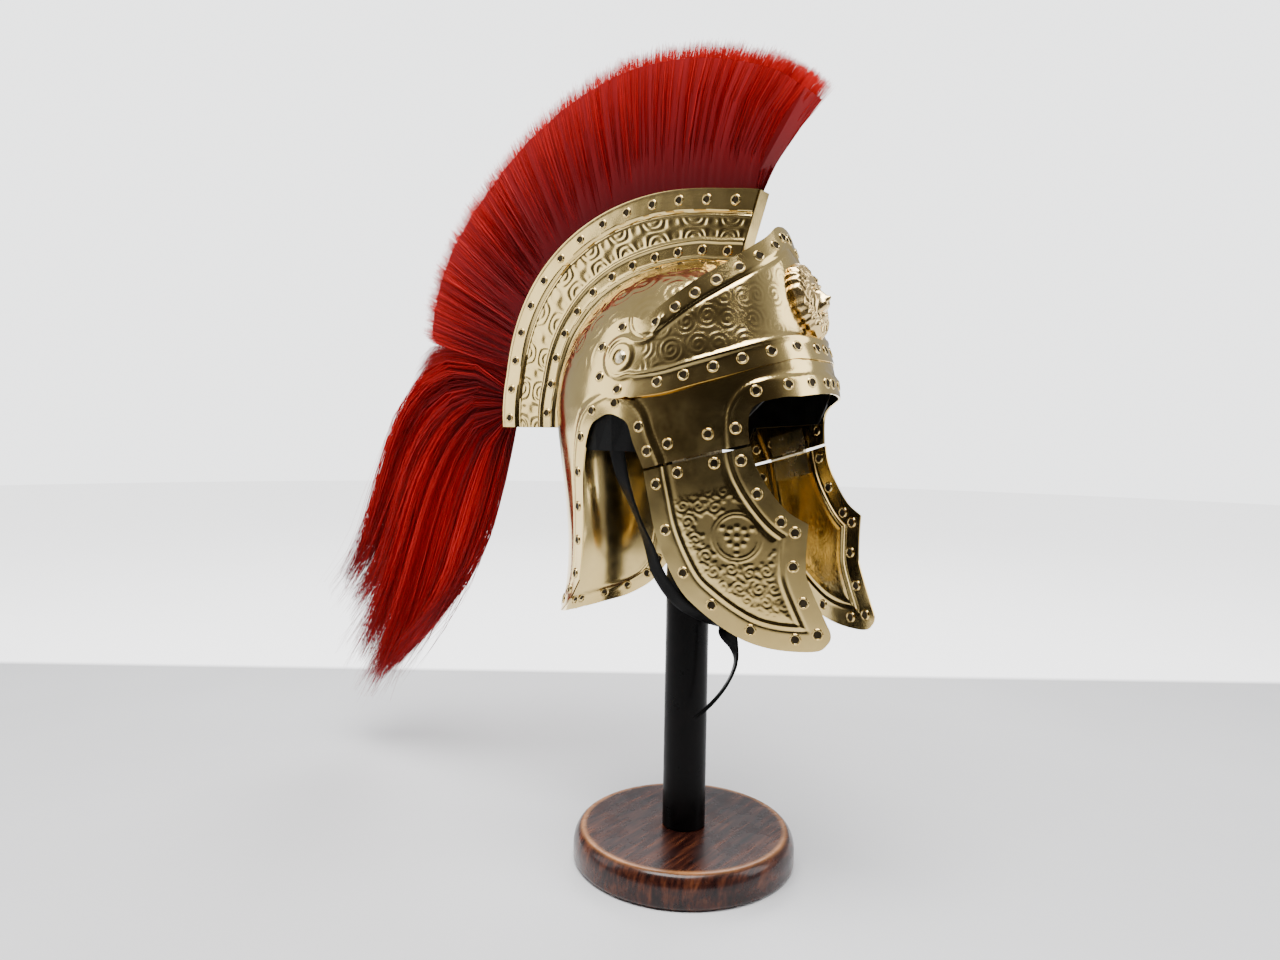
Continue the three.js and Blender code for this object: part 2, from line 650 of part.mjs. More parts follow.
function makeTail() {
  const rootDegrees = lerp(TAIL_ROOT_ANGLE, CREST_REAR_ANGLE, 0.25);
  const root = crestPoint(rootDegrees);
  const inside = crestHalfWidth(TAIL_ROOT_ANGLE) - SHEET - GAP;
  const blockRings = [0, 0.5, 1].map((share) => {
    const degrees = lerp(TAIL_ROOT_ANGLE, CREST_REAR_ANGLE - 0.5, share);
    const outer = crestPoint(degrees, 1 + TAIL_ROOT_RISE / CREST_LENGTH);
    const inner = crestPoint(degrees, 1 - HAIR_BACKING / CREST_LENGTH);
    return [at(-inside, inner.x, inner.y), at(inside, inner.x, inner.y), at(inside, outer.x, outer.y),
      at(-inside, outer.x, outer.y)];
  });
  let body = solid(loft(blockRings));
  const stations = 8;
  const sides = 6;
  TAIL_LOCKS.forEach(({ side, wide, path }) => {
    const line = new THREE.CatmullRomCurve3(path.map(([back, down], i) => at(
      side * TAIL_HALF_THICKNESS * smooth(i / (path.length - 1)),
      root.x - back * TAIL_LENGTH, root.y - down * TAIL_LENGTH,
    )), false, 'centripetal');
    const rings = [];
    for (let i = 0; i <= stations; i++) {
      const share = i / stations;
      const centre = line.getPointAt(share);
      const run = line.getTangentAt(share);
      const across = new THREE.Vector3(1, 0, 0);
      const flat = new THREE.Vector3().crossVectors(run, across).normalize();
      const size = read(TAIL_SHAPE, share) * wide * TAIL_LOCK_WIDTH;
      const half = lerp(inside, TAIL_HALF_THICKNESS * read(TAIL_SHAPE, share), smooth(share * 4));
      const ring = [];
      for (let k = 0; k < sides; k++) {
        const angle = (2 * Math.PI * (k + 0.5)) / sides;
        ring.push(centre.clone().addScaledVector(flat, 0.5 * size * Math.cos(angle))
          .addScaledVector(across, half * Math.sin(angle)));
      }
      rings.push(ring);
    }
    body = body.add(solid(loft(rings)));
  });
  add('crest_tail', geometryOf(body.subtract(tailClearance())), HAIR);
}

// Room that the tail leaves for the crest plates and the crest hair above it.
function tailClearance() {
  const steps = 8;
  const rings = [];
  for (let i = 0; i <= steps; i++) {
    const degrees = lerp(TAIL_ROOT_ANGLE - 12, CREST_REAR_ANGLE + 4, i / steps);
    const outer = crestPoint(degrees, 1 + GAP / CREST_LENGTH);
    const inner = crestPoint(degrees, 0.8);
    const half = crestHalfWidth(degrees);
    const beyond = half + 2 * TAIL_HALF_THICKNESS;
    rings.push([at(half - SHEET - GAP, inner.x, inner.y), at(beyond, inner.x, inner.y),
      at(beyond, outer.x, outer.y), at(half - SHEET - GAP, outer.x, outer.y)]);
  }
  const left = loft(rings);
  const right = loft(rings.map((ring) => ring.map((p) => new THREE.Vector3(-p.x, p.y, p.z))));
  const tips = HAIR_TIPS.slice(-1)[0];
  const tip = new THREE.Vector2(tips[0] * CREST_LENGTH, crestLevel + CREST_HEIGHT + tips[1] * HAIR_REACH);
  const root = crestPoint(HAIR_REAR_ANGLE);
  const base = crestPoint(HAIR_REAR_ANGLE, 0.8);
  const run = new THREE.Vector2().subVectors(tip, root);
  const down = new THREE.Vector2(run.y, -run.x).normalize().multiplyScalar(-GAP);
  if (down.y > 0) down.negate();
  const far = root.clone().addScaledVector(run, 2);
  const wedge = sidePrism(polygon([
    [base.x + down.x, base.y + down.y], [root.x + down.x, root.y + down.y], [far.x + down.x, far.y + down.y],
    [far.x, far.y + 2 * CREST_HEIGHT], [base.x, base.y + 2 * CREST_HEIGHT],
  ]), -SKULL_HALF_WIDTH, SKULL_HALF_WIDTH);
  return solid(left).add(solid(right)).add(wedge);
}

// Cheek plates

// Outline from the split's rear end down the rear edge, round the tip and up the front edge:
// along is a share of the skull's front length, drop of the cheek's drop below the rim.
const CHEEK_REAR_EDGE = [
  [0.095, 0.2], [0.109, 0.285], [0.147, 0.402], [0.194, 0.533], [0.271, 0.658], [0.372, 0.777],
  [0.488, 0.853], [0.636, 0.929], [0.775, 0.978], [0.938, 1.0], [1.124, 0.995], [1.186, 0.962],
  [1.202, 0.924], [1.171, 0.87], [1.116, 0.783], [1.07, 0.701], [1.062, 0.663], [1.062, 0.582],
  [1.07, 0.478],
];
const CHEEK_FRONT_EDGE = [[0.969, 0.435], [0.891, 0.375], [0.814, 0.293], [0.767, 0.212], [0.745, 0.1]];

function cheekWidth(forward, inset) {
  const start = CHEEK_TAPER_START * SKULL_FRONT;
  if (forward <= start) return ringWidth(forward, 1, -inset);
  return ringWidth(start, 1, 0) - CHEEK_TAPER * (forward - start)
    - inset * Math.hypot(1, CHEEK_TAPER);
}

function cheekPoint([along, drop]) {
  return new THREE.Vector2(along * SKULL_FRONT, RIM_HEIGHT - drop * CHEEK_DROP);
}

function cheekOutline() {
  const shape = new THREE.Shape();
  const rear = CHEEK_REAR_EDGE.map(cheekPoint);
  shape.moveTo(rear[0].x, rear[0].y);
  shape.splineThru(rear.slice(1));
  shape.splineThru(CHEEK_FRONT_EDGE.map(cheekPoint));
  return shape;
}

function cheekPlan(side) {
  const steps = 22;
  const from = 0.06 * SKULL_FRONT;
  const to = 1.26 * SKULL_FRONT;
  const outer = [];
  const inner = [];
  for (let i = 0; i <= steps; i++) {
    const forward = lerp(from, to, i / steps);
    outer.push([side * cheekWidth(forward, 0), -forward]);
    inner.push([side * cheekWidth(forward, SHEET), -forward]);
  }
  return polygon([...outer, ...inner.reverse()]);
}

const cheekLow = RIM_HEIGHT - CHEEK_DROP - RUN_OUT;

function makeCheek(name, side) {
  const plan = new THREE.ExtrudeGeometry(cheekPlan(side), {
    depth: RIM_HEIGHT - cheekLow, bevelEnabled: false, steps: 1,
  });
  plan.translate(0, 0, cheekLow);
  const reach = 2 * SKULL_FRONT;
  const lift = -SPLIT_GAP / 2;
  const below = polygon([
    [-reach, splitHeight(-reach) + lift], [-reach, 0], [reach, 0], [reach, splitHeight(reach) + lift],
  ]);
  const body = solid(plan)
    .intersect(sidePrism(cheekOutline(), -2 * SKULL_HALF_WIDTH, 2 * SKULL_HALF_WIDTH, 4))
    .intersect(sidePrism(below, -2 * SKULL_HALF_WIDTH, 2 * SKULL_HALF_WIDTH));
  add(`cheek_plate_${name}`, geometryOf(body), BRASS);
}

// Hinges: each has an upper leaf with two knuckles and the pin, and a lower leaf with one knuckle.

const hingeMiddle = lerp(splitRear.x, splitFront.x, 0.52);
const hingeInset = (SHEET + 2.4 * LOOSE + KNUCKLE_RADIUS) * Math.hypot(1, CHEEK_TAPER / 1.5);

function hingeEnd(share, side) {
  const run = HINGE_LENGTH / 2 / Math.hypot(1, splitSlope, CHEEK_TAPER / 1.5);
  const forward = hingeMiddle + share * run;
  return at(side * (ringWidth(forward, 1) - hingeInset), forward, splitHeight(forward));
}

// Axis of a hinge: its middle, its direction (towards the front) and the outward and upward directions.
export function hingeFrame(side) {
  const rear = hingeEnd(-1, side);
  const front = hingeEnd(1, side);
  const along = new THREE.Vector3().subVectors(front, rear).normalize();
  const up = new THREE.Vector3(0, 0, 1).addScaledVector(along, -along.z).normalize();
  const out = new THREE.Vector3().crossVectors(along, up).multiplyScalar(-side).normalize();
  if (out.x * side < 0) out.negate();
  return { middle: new THREE.Vector3().addVectors(rear, front).multiplyScalar(0.5), along, up, out };
}

// Box in the hinge's own directions: run along the axis, rise above it, outwards from it.
function hingeBox(frame, run, rise, out) {
  const rings = run.map((r) => [[rise[0], out[0]], [rise[1], out[0]], [rise[1], out[1]], [rise[0], out[1]]]
    .map(([u, o]) => frame.middle.clone().addScaledVector(frame.along, r)
      .addScaledVector(frame.up, u).addScaledVector(frame.out, o)));
  return solid(loft(rings));
}

function hingeRod(frame, radius, from, to, sides = 10) {
  const rings = [from, to].map((r) => {
    const ring = [];
    for (let i = 0; i < sides; i++) {
      const angle = (2 * Math.PI * i) / sides;
      ring.push(frame.middle.clone().addScaledVector(frame.along, r)
        .addScaledVector(frame.up, radius * Math.cos(angle))
        .addScaledVector(frame.out, radius * Math.sin(angle)));
    }
    return ring;
  });
  return solid(loft(rings));
}

function makeHinge(name, side) {
  const frame = hingeFrame(side);
  const half = HINGE_LENGTH / 2;
  const inner = KNUCKLE_SHARE * half;
  const face = [KNUCKLE_RADIUS - LEAF_THICKNESS, KNUCKLE_RADIUS];
  const start = KNUCKLE_RADIUS + LOOSE;
  const end = start + LEAF_HEIGHT;
  const clear = inner + GAP;
  let upper = hingeBox(frame, [-half, half], [start, end], face);
  upper = upper.add(hingeRod(frame, PIN_RADIUS, -half, half));
  [[-half, -clear], [clear, half]].forEach((run) => {
    upper = upper.add(hingeRod(frame, KNUCKLE_RADIUS, run[0], run[1]));
    upper = upper.add(hingeBox(frame, run, [0, start + 1], face));
  });
  let lower = hingeBox(frame, [-half, half], [-end, -start], face);
  lower = lower.add(hingeRod(frame, KNUCKLE_RADIUS, -inner, inner));
  lower = lower.add(hingeBox(frame, [-inner, inner], [-start - 1, 0], face));
  lower = lower.subtract(hingeRod(frame, PIN_RADIUS + GAP, -half, half));
  add(`hinge_leaf_upper_${name}`, geometryOf(upper), STEEL);
  add(`hinge_leaf_lower_${name}`, geometryOf(lower), STEEL);
}

// Chin strap: from inside one ear, forward of the post, and up to the other ear.

// Half of the loop, anchor to chin: side as a share of the way out to the liner, forward as a share of
// the skull's front length, drop of the neck's drop, and the twist of its width in degrees.
const STRAP_ROUTE = [
  { side: 1, forward: -0.194, drop: -0.103, turn: 0 },
  { side: 1, forward: -0.194, drop: 0, turn: 0 },
  { side: 0.985, forward: -0.194, drop: 0.103, turn: 0 },
  { side: 0.95, forward: -0.171, drop: 0.175, turn: 0 },
  { side: 0.878, forward: -0.155, drop: 0.294, turn: 10 },
  { side: 0.79, forward: -0.124, drop: 0.397, turn: 32 },
  { side: 0.69, forward: -0.085, drop: 0.505, turn: 40 },
  { side: 0.592, forward: -0.054, drop: 0.608, turn: 22 },
  { side: 0.507, forward: -0.031, drop: 0.711, turn: 6 },
  { side: 0.424, forward: 0.023, drop: 0.794, turn: 0 },
  { side: 0.354, forward: 0.093, drop: 0.856, turn: 0 },
  { side: 0.285, forward: 0.178, drop: 0.897, turn: 0 },
  { side: 0.17, forward: 0.279, drop: 0.938, turn: 0 },
  { side: 0, forward: 0.341, drop: 0.964, turn: 0 },
];
// Free end below the slide, down to its tip; "wide" is a share of the strap's width.
const STRAP_END_ROUTE = [
  { side: -0.09, forward: 0.353, drop: 0.978, turn: 0, wide: 1 },
  { side: -0.13, forward: 0.41, drop: 1.018, turn: -20, wide: 0.95 },
  { side: -0.14, forward: 0.44, drop: 1.09, turn: -50, wide: 0.8 },
  { side: -0.17, forward: 0.41, drop: 1.17, turn: -58, wide: 0.7 },
  { side: -0.23, forward: 0.35, drop: 1.247, turn: -58, wide: 0.55 },
  { side: -0.3, forward: 0.28, drop: 1.309, turn: -50, wide: 0.4 },
  { side: -0.375, forward: 0.222, drop: 1.351, turn: -40, wide: 0.2 },
];
const strapStack = STRAP_THICKNESS + GAP;

// World point of a route's row; a side of 1 lies against the liner.
function strapPoint(row) {
  const forward = row.forward * SKULL_FRONT;
  const height = RIM_HEIGHT - row.drop * NECK_DROP;
  const inset = SHEET + GAP + LINER_THICKNESS + 1.5 * LOOSE + STRAP_THICKNESS / 2;
  const rear = Math.min(forward, 0) - STRAP_WIDTH / 2;
  return at(row.side * ringWidth(rear, domeScale(height), -inset), forward, height);
}

// Flat band along a line; each row's turn sets where its width lies.
function band(points, rows, steps) {
  const line = new THREE.CatmullRomCurve3(points, false, 'centripetal');
  const rings = [];
  for (let i = 0; i <= steps; i++) {
    const share = i / steps;
    const place = share * (rows.length - 1);
    const k = Math.min(Math.floor(place), rows.length - 2);
    const blend = place - k;
    const turn = THREE.MathUtils.degToRad(lerp(rows[k].turn, rows[k + 1].turn, blend));
    const wide = STRAP_WIDTH * lerp(rows[k].wide ?? 1, rows[k + 1].wide ?? 1, blend);
    const run = line.getTangent(share);
    const across = at(Math.sin(turn), Math.cos(turn), 0);
    across.addScaledVector(run, -across.dot(run)).normalize();
    const flat = new THREE.Vector3().crossVectors(run, across).normalize();
    const centre = line.getPoint(share);
    rings.push([[-1, -1], [1, -1], [1, 1], [-1, 1]].map(([a, b]) => centre.clone()
      .addScaledVector(across, (a * wide) / 2).addScaledVector(flat, (b * STRAP_THICKNESS) / 2)));
  }
  return loft(rings);
}

function makeStrap() {
  const right = STRAP_ROUTE.map((row) => ({ ...row, side: -row.side, turn: -row.turn }));
  const loop = [...right, ...[...STRAP_ROUTE].reverse().slice(1)];
  add('chin_strap', band(loop.map(strapPoint), loop, 54), LEATHER);
  const chin = strapPoint(STRAP_ROUTE[STRAP_ROUTE.length - 1]);
  const start = chin.clone().add(at(STRAP_WIDTH / 3, 0, -strapStack));
  const middle = chin.clone().add(at(-STRAP_WIDTH / 4, 0, -strapStack));
  const flat = { turn: 0, wide: 1 };
  add('strap_end', band(
    [start, middle, ...STRAP_END_ROUTE.map(strapPoint)], [flat, flat, ...STRAP_END_ROUTE], 20,
  ), LEATHER);
}

// Slide that joins the two halves of the strap at the chin, with the free end through it too.
const SLIDE_WIRE = 1.4;
const SLIDE_HALF_LENGTH = 2.5;

function makeSlide() {
  const chin = strapPoint(STRAP_ROUTE[STRAP_ROUTE.length - 1]);
  const frame = {
    middle: chin.clone().add(at(0, 0, -strapStack / 2)), along: new THREE.Vector3(1, 0, 0),
    up: new THREE.Vector3(0, 0, 1), out: at(0, 1, 0),
  };
  const rise = strapStack / 2 + STRAP_THICKNESS / 2 + 2 * LOOSE;
  const deep = STRAP_WIDTH / 2 + 2 * LOOSE;
  const run = [-SLIDE_HALF_LENGTH, SLIDE_HALF_LENGTH];
  const outer = hingeBox(frame, run, [-rise - SLIDE_WIRE, rise + SLIDE_WIRE],
    [-deep - SLIDE_WIRE, deep + SLIDE_WIRE]);
  const inner = hingeBox(frame, [2 * run[0], 2 * run[1]], [-rise, rise], [-deep, deep]);
  add('strap_slide', geometryOf(outer.subtract(inner)), BLACK_PAINT);
}

// Stand

function lathe(points, segments) {
  const geometry = new THREE.LatheGeometry(points.map(([x, y]) => new THREE.Vector2(x, y)), segments);
  return geometry.rotateX(Math.PI / 2);
}

function makeStand() {
  const round = BASE_FOOT_ROUND;
  const slope = BASE_RADIUS - BASE_TOP_RADIUS;
  const base = [
    [0, 0], [BASE_RADIUS - round, 0], [BASE_RADIUS - 0.3 * round, 0.3 * round], [BASE_RADIUS, round],
    [BASE_RADIUS, BASE_HEIGHT - 1.9 * slope], [BASE_RADIUS - 0.18 * slope, BASE_HEIGHT - 1.1 * slope],
    [BASE_RADIUS - 0.5 * slope, BASE_HEIGHT - 0.4 * slope], [BASE_TOP_RADIUS, BASE_HEIGHT], [0, BASE_HEIGHT],
  ];
  add('stand_base', geometryOf(solid(lathe(base, 40))), WALNUT);
  const headTop = CROWN - SHEET - GAP;
  const headLow = headTop - HEAD_DEPTH;
  const post = new THREE.CylinderGeometry(POST_RADIUS, POST_RADIUS, headLow - GAP - BASE_HEIGHT - GAP, 24);
  post.rotateX(Math.PI / 2).translate(0, 0, (headLow + BASE_HEIGHT) / 2);
  add('stand_post', geometryOf(solid(post)), BLACK_PAINT);
  const grow = -SHEET - GAP;
  const top = [1, 0.85, 0.65, 0.4, 0.2].map((share) => {
    const radius = HEAD_RADIUS * share;
    const inside = radius / (SKULL_HALF_WIDTH + grow);
    return [radius, RIM_HEIGHT + (DOME_HEIGHT + grow) * Math.sqrt(1 - inside * inside) - FACET_ROOM];
  });
  const profile = [[0, headLow], [POST_RADIUS * 1.2, headLow], [HEAD_RADIUS, headLow + HEAD_CONE], ...top,
    [0, headTop - FACET_ROOM]];
  add('stand_head', geometryOf(solid(lathe(profile, 24))), BLACK_PAINT);
}

makeStand();
makeSkull();
makeLiner();
makeBrow();
makeScrews();
makeMedallion();
makeCrestPlates();
makeCrestCap();
makeHair();
makeTail();
[['right', -1], ['left', 1]].forEach(([name, side]) => {
  makeCheek(name, side);
  makeHinge(name, side);
});
makeStrap();
makeSlide();

export default helmet;
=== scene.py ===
import math

import bpy
import numpy as np
from mathutils import Matrix, Vector
from mathutils.kdtree import KDTree


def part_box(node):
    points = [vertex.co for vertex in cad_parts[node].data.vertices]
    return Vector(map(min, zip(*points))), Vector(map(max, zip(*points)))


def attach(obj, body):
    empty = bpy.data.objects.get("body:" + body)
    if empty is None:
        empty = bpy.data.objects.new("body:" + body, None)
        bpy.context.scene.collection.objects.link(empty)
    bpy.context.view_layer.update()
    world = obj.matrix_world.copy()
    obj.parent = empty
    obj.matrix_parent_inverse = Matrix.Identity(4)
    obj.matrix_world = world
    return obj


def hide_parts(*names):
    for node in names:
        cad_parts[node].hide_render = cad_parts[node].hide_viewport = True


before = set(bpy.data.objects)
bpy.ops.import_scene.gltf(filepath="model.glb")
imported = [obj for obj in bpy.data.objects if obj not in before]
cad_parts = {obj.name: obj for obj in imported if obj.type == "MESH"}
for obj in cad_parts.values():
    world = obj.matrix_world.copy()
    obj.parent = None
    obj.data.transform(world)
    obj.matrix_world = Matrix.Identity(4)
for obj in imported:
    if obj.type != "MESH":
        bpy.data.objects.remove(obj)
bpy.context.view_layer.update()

# The script works in millimetres with x to the wearer's left, forward (f) towards the face and z up.
# A point (x, f, z) in millimetres is (x, -f, z) / 1000 in the scene.
MM = 0.001

# Skull and neck guard
SHEET = 1.2
RIM_HEIGHT = 400.0
DOME_HEIGHT = 127.0
HALF_WIDTH = 90.0
SKULL_FRONT = 129.0
SKULL_BACK = 135.0
FRONT_FULLNESS = 0.16
NECK_DROP = 194.0
SPLIT_GAP = 2.2
NECK_BLEND = 0.37
NECK_FLARE = np.array([
    [0, 1], [0.08, 0.99], [0.26, 0.954], [0.45, 0.916], [0.65, 0.896], [0.86, 0.916], [1, 0.955],
    [1.1, 0.98],
])
SPLIT_REAR = (0.109, 0.263)
SPLIT_FRONT = (0.736, 0.155)
EYE_EDGE = [
    (0.729, 0.077), (0.736, 0.026), (0.767, -0.005), (0.814, -0.021), (0.884, -0.036),
    (0.938, -0.041), (1.02, -0.062),
]
EAR_EDGE = [
    (0.031, 0.155), (-0.015, 0.077), (-0.089, 0.046), (-0.163, 0.036), (-0.244, 0.052),
    (-0.333, 0.093), (-0.407, 0.211), (-0.437, 0.325), (-0.459, 0.5), (-0.489, 0.686),
    (-0.508, 0.775),
]
NECK_EDGE = [(-0.563, 0.825), (-0.63, 0.881), (-0.763, 0.943), (-0.874, 0.974), (-0.97, 1)]

# Brow plate
BROW_INNER = 0.4
BROW_OUTER = BROW_INNER + SHEET
BROW_PEAK_RISE = 146.0
BROW_PEAK_FORWARD = 83.0
BROW_LEAN = 0.0029
BOSS_RADIUS = 33.0
BOSS_FORWARD = -0.089 * SKULL_BACK
BOSS_HEIGHT = RIM_HEIGHT + 0.3 * DOME_HEIGHT
BROW_TOP_EDGE = [(0.975, 0.897), (0.795, 0.774), (0.422, 0.623), (0.11, 0.486)]
BROW_LOWER_EDGE = [
    (0.016, 0.045), (0.24, 0.07), (0.426, 0.118), (0.636, 0.18), (0.837, 0.256), (0.93, 0.295),
    (1.1, 0.275),
]

# Medallion
MEDALLION_HALF_WIDTH = 21.0
MEDALLION_HALF_HEIGHT = 32.0
MEDALLION_DEPTH = 17.0
MEDALLION_RISE = 0.58

# Crest
CREST_LENGTH = 226.0
CREST_HEIGHT = 187.0
CREST_FORWARD = 8.0
CREST_LEVEL = RIM_HEIGHT - 3.0
CREST_BOTTOM = RIM_HEIGHT - 18.0
CREST_FRONT_HALF_WIDTH = 7.5
CREST_REAR_HALF_WIDTH = 11.0
CREST_FRONT_ANGLE = 75.0
CREST_REAR_ANGLE = 184.6
CREST_SWELL = 0.079
CREST_SWELL_START = 82.0
CREST_SWELL_END = 169.0
CREST_INNER_SCALE = 0.45
HAIR_REAR_ANGLE = 167.0
TAIL_ROOT_ANGLE = 169.5
HAIR_HALF_WIDTH = 21.0
HAIR_REACH = 126.0
HAIR_BOW = 10.0
HAIR_BOW_END = 0.3
TAIL_LENGTH = 330.0
TAIL_HALF_THICKNESS = 20.0
HAIR_TIPS = [
    (0.522, 0.563), (0.394, 0.738), (0.146, 0.913), (-0.071, 0.984), (-0.31, 0.988),
    (-0.556, 0.883), (-0.799, 0.689), (-1.029, 0.403), (-1.239, 0.06), (-1.395, -0.351),
    (-1.456, -0.77), (-1.42, -0.889),
]
HAIR_SECTION = np.array([[0, 0.33], [0.06, 0.5], [0.3, 0.72], [0.62, 0.93], [0.88, 1], [1, 0.92]])

# Cheek plates
CHEEK_DROP = 184.0
CHEEK_TAPER = 0.415
CHEEK_TAPER_START = 0.543
CHEEK_REAR_EDGE = [
    (0.095, 0.2), (0.109, 0.285), (0.147, 0.402), (0.194, 0.533), (0.271, 0.658), (0.372, 0.777),
    (0.488, 0.853), (0.636, 0.929), (0.775, 0.978), (0.938, 1.0), (1.124, 0.995), (1.186, 0.962),
    (1.202, 0.924), (1.171, 0.87), (1.116, 0.783), (1.07, 0.701), (1.062, 0.663), (1.062, 0.582),
    (1.07, 0.478),
]
CHEEK_FRONT_EDGE = [(0.969, 0.435), (0.891, 0.375), (0.814, 0.293), (0.767, 0.212), (0.745, 0.1)]

# Widths of the riveted bands, and the rivets' distance from the edge
EYE_BAND = 15.5
EAR_BAND = 16.5
NECK_BAND = 13.0
BROW_BAND = 16.0
CHEEK_BAND = 17.5
OUTER_BAND = 18.5
INNER_BAND = 17.0
RIVET_INSET = 9.3

# Steps of the sheets' grids, and of the edge lines that distances are measured to
SKULL_GRID = 2.3
CHEEK_GRID = 1.0
BROW_GRID = 1.35
EDGE_STEP = 0.8

# Camera, fitted to the photograph's 1280 x 960 frame
CAMERA_PLACE = Vector((-0.65141, -0.41876, 0.37799))
CAMERA_AHEAD = Vector((0.80800, 0.58677, -0.05330))
CAMERA_ROLL = -0.913
CAMERA_LENS = 24.75
CAMERA_SENSOR = 36.0


# Small helpers

def smooth(value):
    t = np.clip(value, 0.0, 1.0)
    return t * t * (3 - 2 * t)


def bump(value, centre, spread):
    return np.exp(-((value - centre) / spread) ** 2)


def spline(points, per=10):
    """Catmull-Rom line through points, as the ornamental outlines use."""
    pts = np.asarray(points, float)
    ends = np.vstack([2 * pts[0] - pts[1], pts, 2 * pts[-1] - pts[-2]])
    out = []
    for i in range(1, len(ends) - 2):
        p0, p1, p2, p3 = ends[i - 1:i + 3]
        for t in np.arange(per) / per:
            out.append(0.5 * (2 * p1 + (p2 - p0) * t + (2 * p0 - 5 * p1 + 4 * p2 - p3) * t ** 2
                              + (3 * p1 - p0 - 3 * p2 + p3) * t ** 3))
    out.append(ends[-2])
    return np.array(out)


def run_along(points):
    """Length run at each point of a polyline."""
    return np.concatenate([[0], np.cumsum(np.linalg.norm(np.diff(points, axis=0), axis=1))])


def columns_at(at, marks, points):
    """Points given at marks, read off at other values column by column."""
    return np.stack([np.interp(at, marks, points[:, k]) for k in range(points.shape[1])], -1)


def resample(points, step):
    """Points at even steps along a polyline."""
    pts = np.asarray(points, float)
    run = run_along(pts)
    count = max(2, int(round(run[-1] / step)) + 1)
    return columns_at(np.linspace(0, run[-1], count), run, pts)


def smooth_line(points, count):
    """A number of points spread evenly along the smooth line through points."""
    line = resample(spline(points, 10), 1.0)
    return columns_at(np.linspace(0, len(line) - 1, count), np.arange(len(line)), line)


def unit(vectors):
    return vectors / np.maximum(np.linalg.norm(vectors, axis=-1, keepdims=True), 1e-9)


def without_doubles(line):
    return line[np.concatenate([[True], np.linalg.norm(np.diff(line, axis=0), axis=1) > 1e-3])]


def to_scene(points):
    """(x, f, z) in millimetres to scene metres."""
    p = np.asarray(points, float)
    return np.stack([p[..., 0], -p[..., 1], p[..., 2]], -1) * MM


def ring_quads(rings, per, first=0):
    """Quads between neighbouring closed rings of points."""
    base = np.arange(rings - 1)[:, None] * per + first
    k = np.arange(per)
    m = (k + 1) % per
    return np.stack([base + k, base + m, base + per + m, base + per + k], -1).reshape(-1, 4)


def fan(hub, ring):
    """Triangles from a hub to the neighbouring points of a closed ring."""
    return np.stack([np.full(len(ring), hub), ring, np.roll(ring, -1)], 1)


def make_mesh(name, verts, faces, sharp=50.0):
    """Mesh object from scene-space vertices and faces that all have the same number of corners,
    or a list of such arrays."""
    groups = faces if isinstance(faces, list) else [faces]
    groups = [np.asarray(g, np.int32) for g in groups if len(g)]
    mesh = bpy.data.meshes.new(name)
    corners = np.concatenate([g.ravel() for g in groups])
    sizes = np.concatenate([np.full(len(g), g.shape[1], np.int32) for g in groups])
    starts = np.concatenate([[0], np.cumsum(sizes)[:-1]]).astype(np.int32)
    mesh.vertices.add(len(verts))
    mesh.vertices.foreach_set("co", np.asarray(verts, np.float32).ravel())
    mesh.loops.add(len(corners))
    mesh.loops.foreach_set("vertex_index", corners)
    mesh.polygons.add(len(sizes))
    mesh.polygons.foreach_set("loop_start", starts)
    mesh.polygons.foreach_set("use_smooth", np.ones(len(sizes), bool))
    mesh.update(calc_edges=True)
    mesh.validate()
    if sharp:
        mesh.set_sharp_from_angle(angle=math.radians(sharp))
    piece = bpy.data.objects.new(name, mesh)
    bpy.context.scene.collection.objects.link(piece)
    return piece


def paint(piece, name, values):
    """Give each vertex a number that the material reads."""
    layer = piece.data.attributes.new(name, "FLOAT", "POINT")
    layer.data.foreach_set("value", values.ravel().astype(np.float32))


def finish_piece(piece, body, slot, material, *nodes):
    piece.data.materials.append(material)
    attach(piece, body)
    if nodes:
        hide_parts(*nodes)
    return piece


# Materials

def new_material(name):
    material = bpy.data.materials.new(name)
    material.use_nodes = True
    tree = material.node_tree
    return material, tree, tree.nodes["Principled BSDF"]


def fill(tree, made, sockets):
    """Link or set each named input of a node."""
    for key, value in sockets.items():
        if isinstance(value, bpy.types.NodeSocket):
            tree.links.new(value, made.inputs[key])
        else:
            made.inputs[key].default_value = value


def add_node(tree, kind, sockets=None, **settings):
    made = tree.nodes.new("ShaderNode" + kind)
    for key, value in settings.items():
        setattr(made, key, value)
    fill(tree, made, sockets or {})
    return made


def noise(tree, scale, detail=4.0, rough=0.55, stretch=None):
    place = add_node(tree, "TexCoord").outputs["Object"]
    if stretch:
        place = add_node(tree, "Mapping", {"Vector": place, "Scale": stretch}).outputs["Vector"]
    return add_node(tree, "TexNoise", {"Vector": place, "Scale": scale, "Detail": detail,
                                       "Roughness": rough}).outputs["Fac"]


def ramp(tree, source, stops):
    made = add_node(tree, "ValToRGB", {"Fac": source})
    elements = made.color_ramp.elements
    while len(elements) < len(stops):
        elements.new(0.5)
    for element, (at, color) in zip(elements, stops):
        element.position = at
        element.color = (*color, 1)
    return made.outputs["Color"]


def spread(tree, source, low, high, start=0.3, end=0.7):
    return add_node(tree, "MapRange", {"Value": source, "From Min": start, "From Max": end,
                                       "To Min": low, "To Max": high}).outputs["Result"]


def bumps(tree, source, strength, distance, **under):
    return add_node(tree, "Bump", {"Height": source, "Strength": strength, "Distance": distance,
                                   **under}).outputs["Normal"]


def mixed_color(tree, factor, first, second):
    return add_node(tree, "Mix", {"Factor": factor, "A": first, "B": second},
                    data_type="RGBA").outputs["Result"]


def math_node(tree, operation, *values):
    return add_node(tree, "Math", dict(enumerate(values)), operation=operation).outputs["Value"]


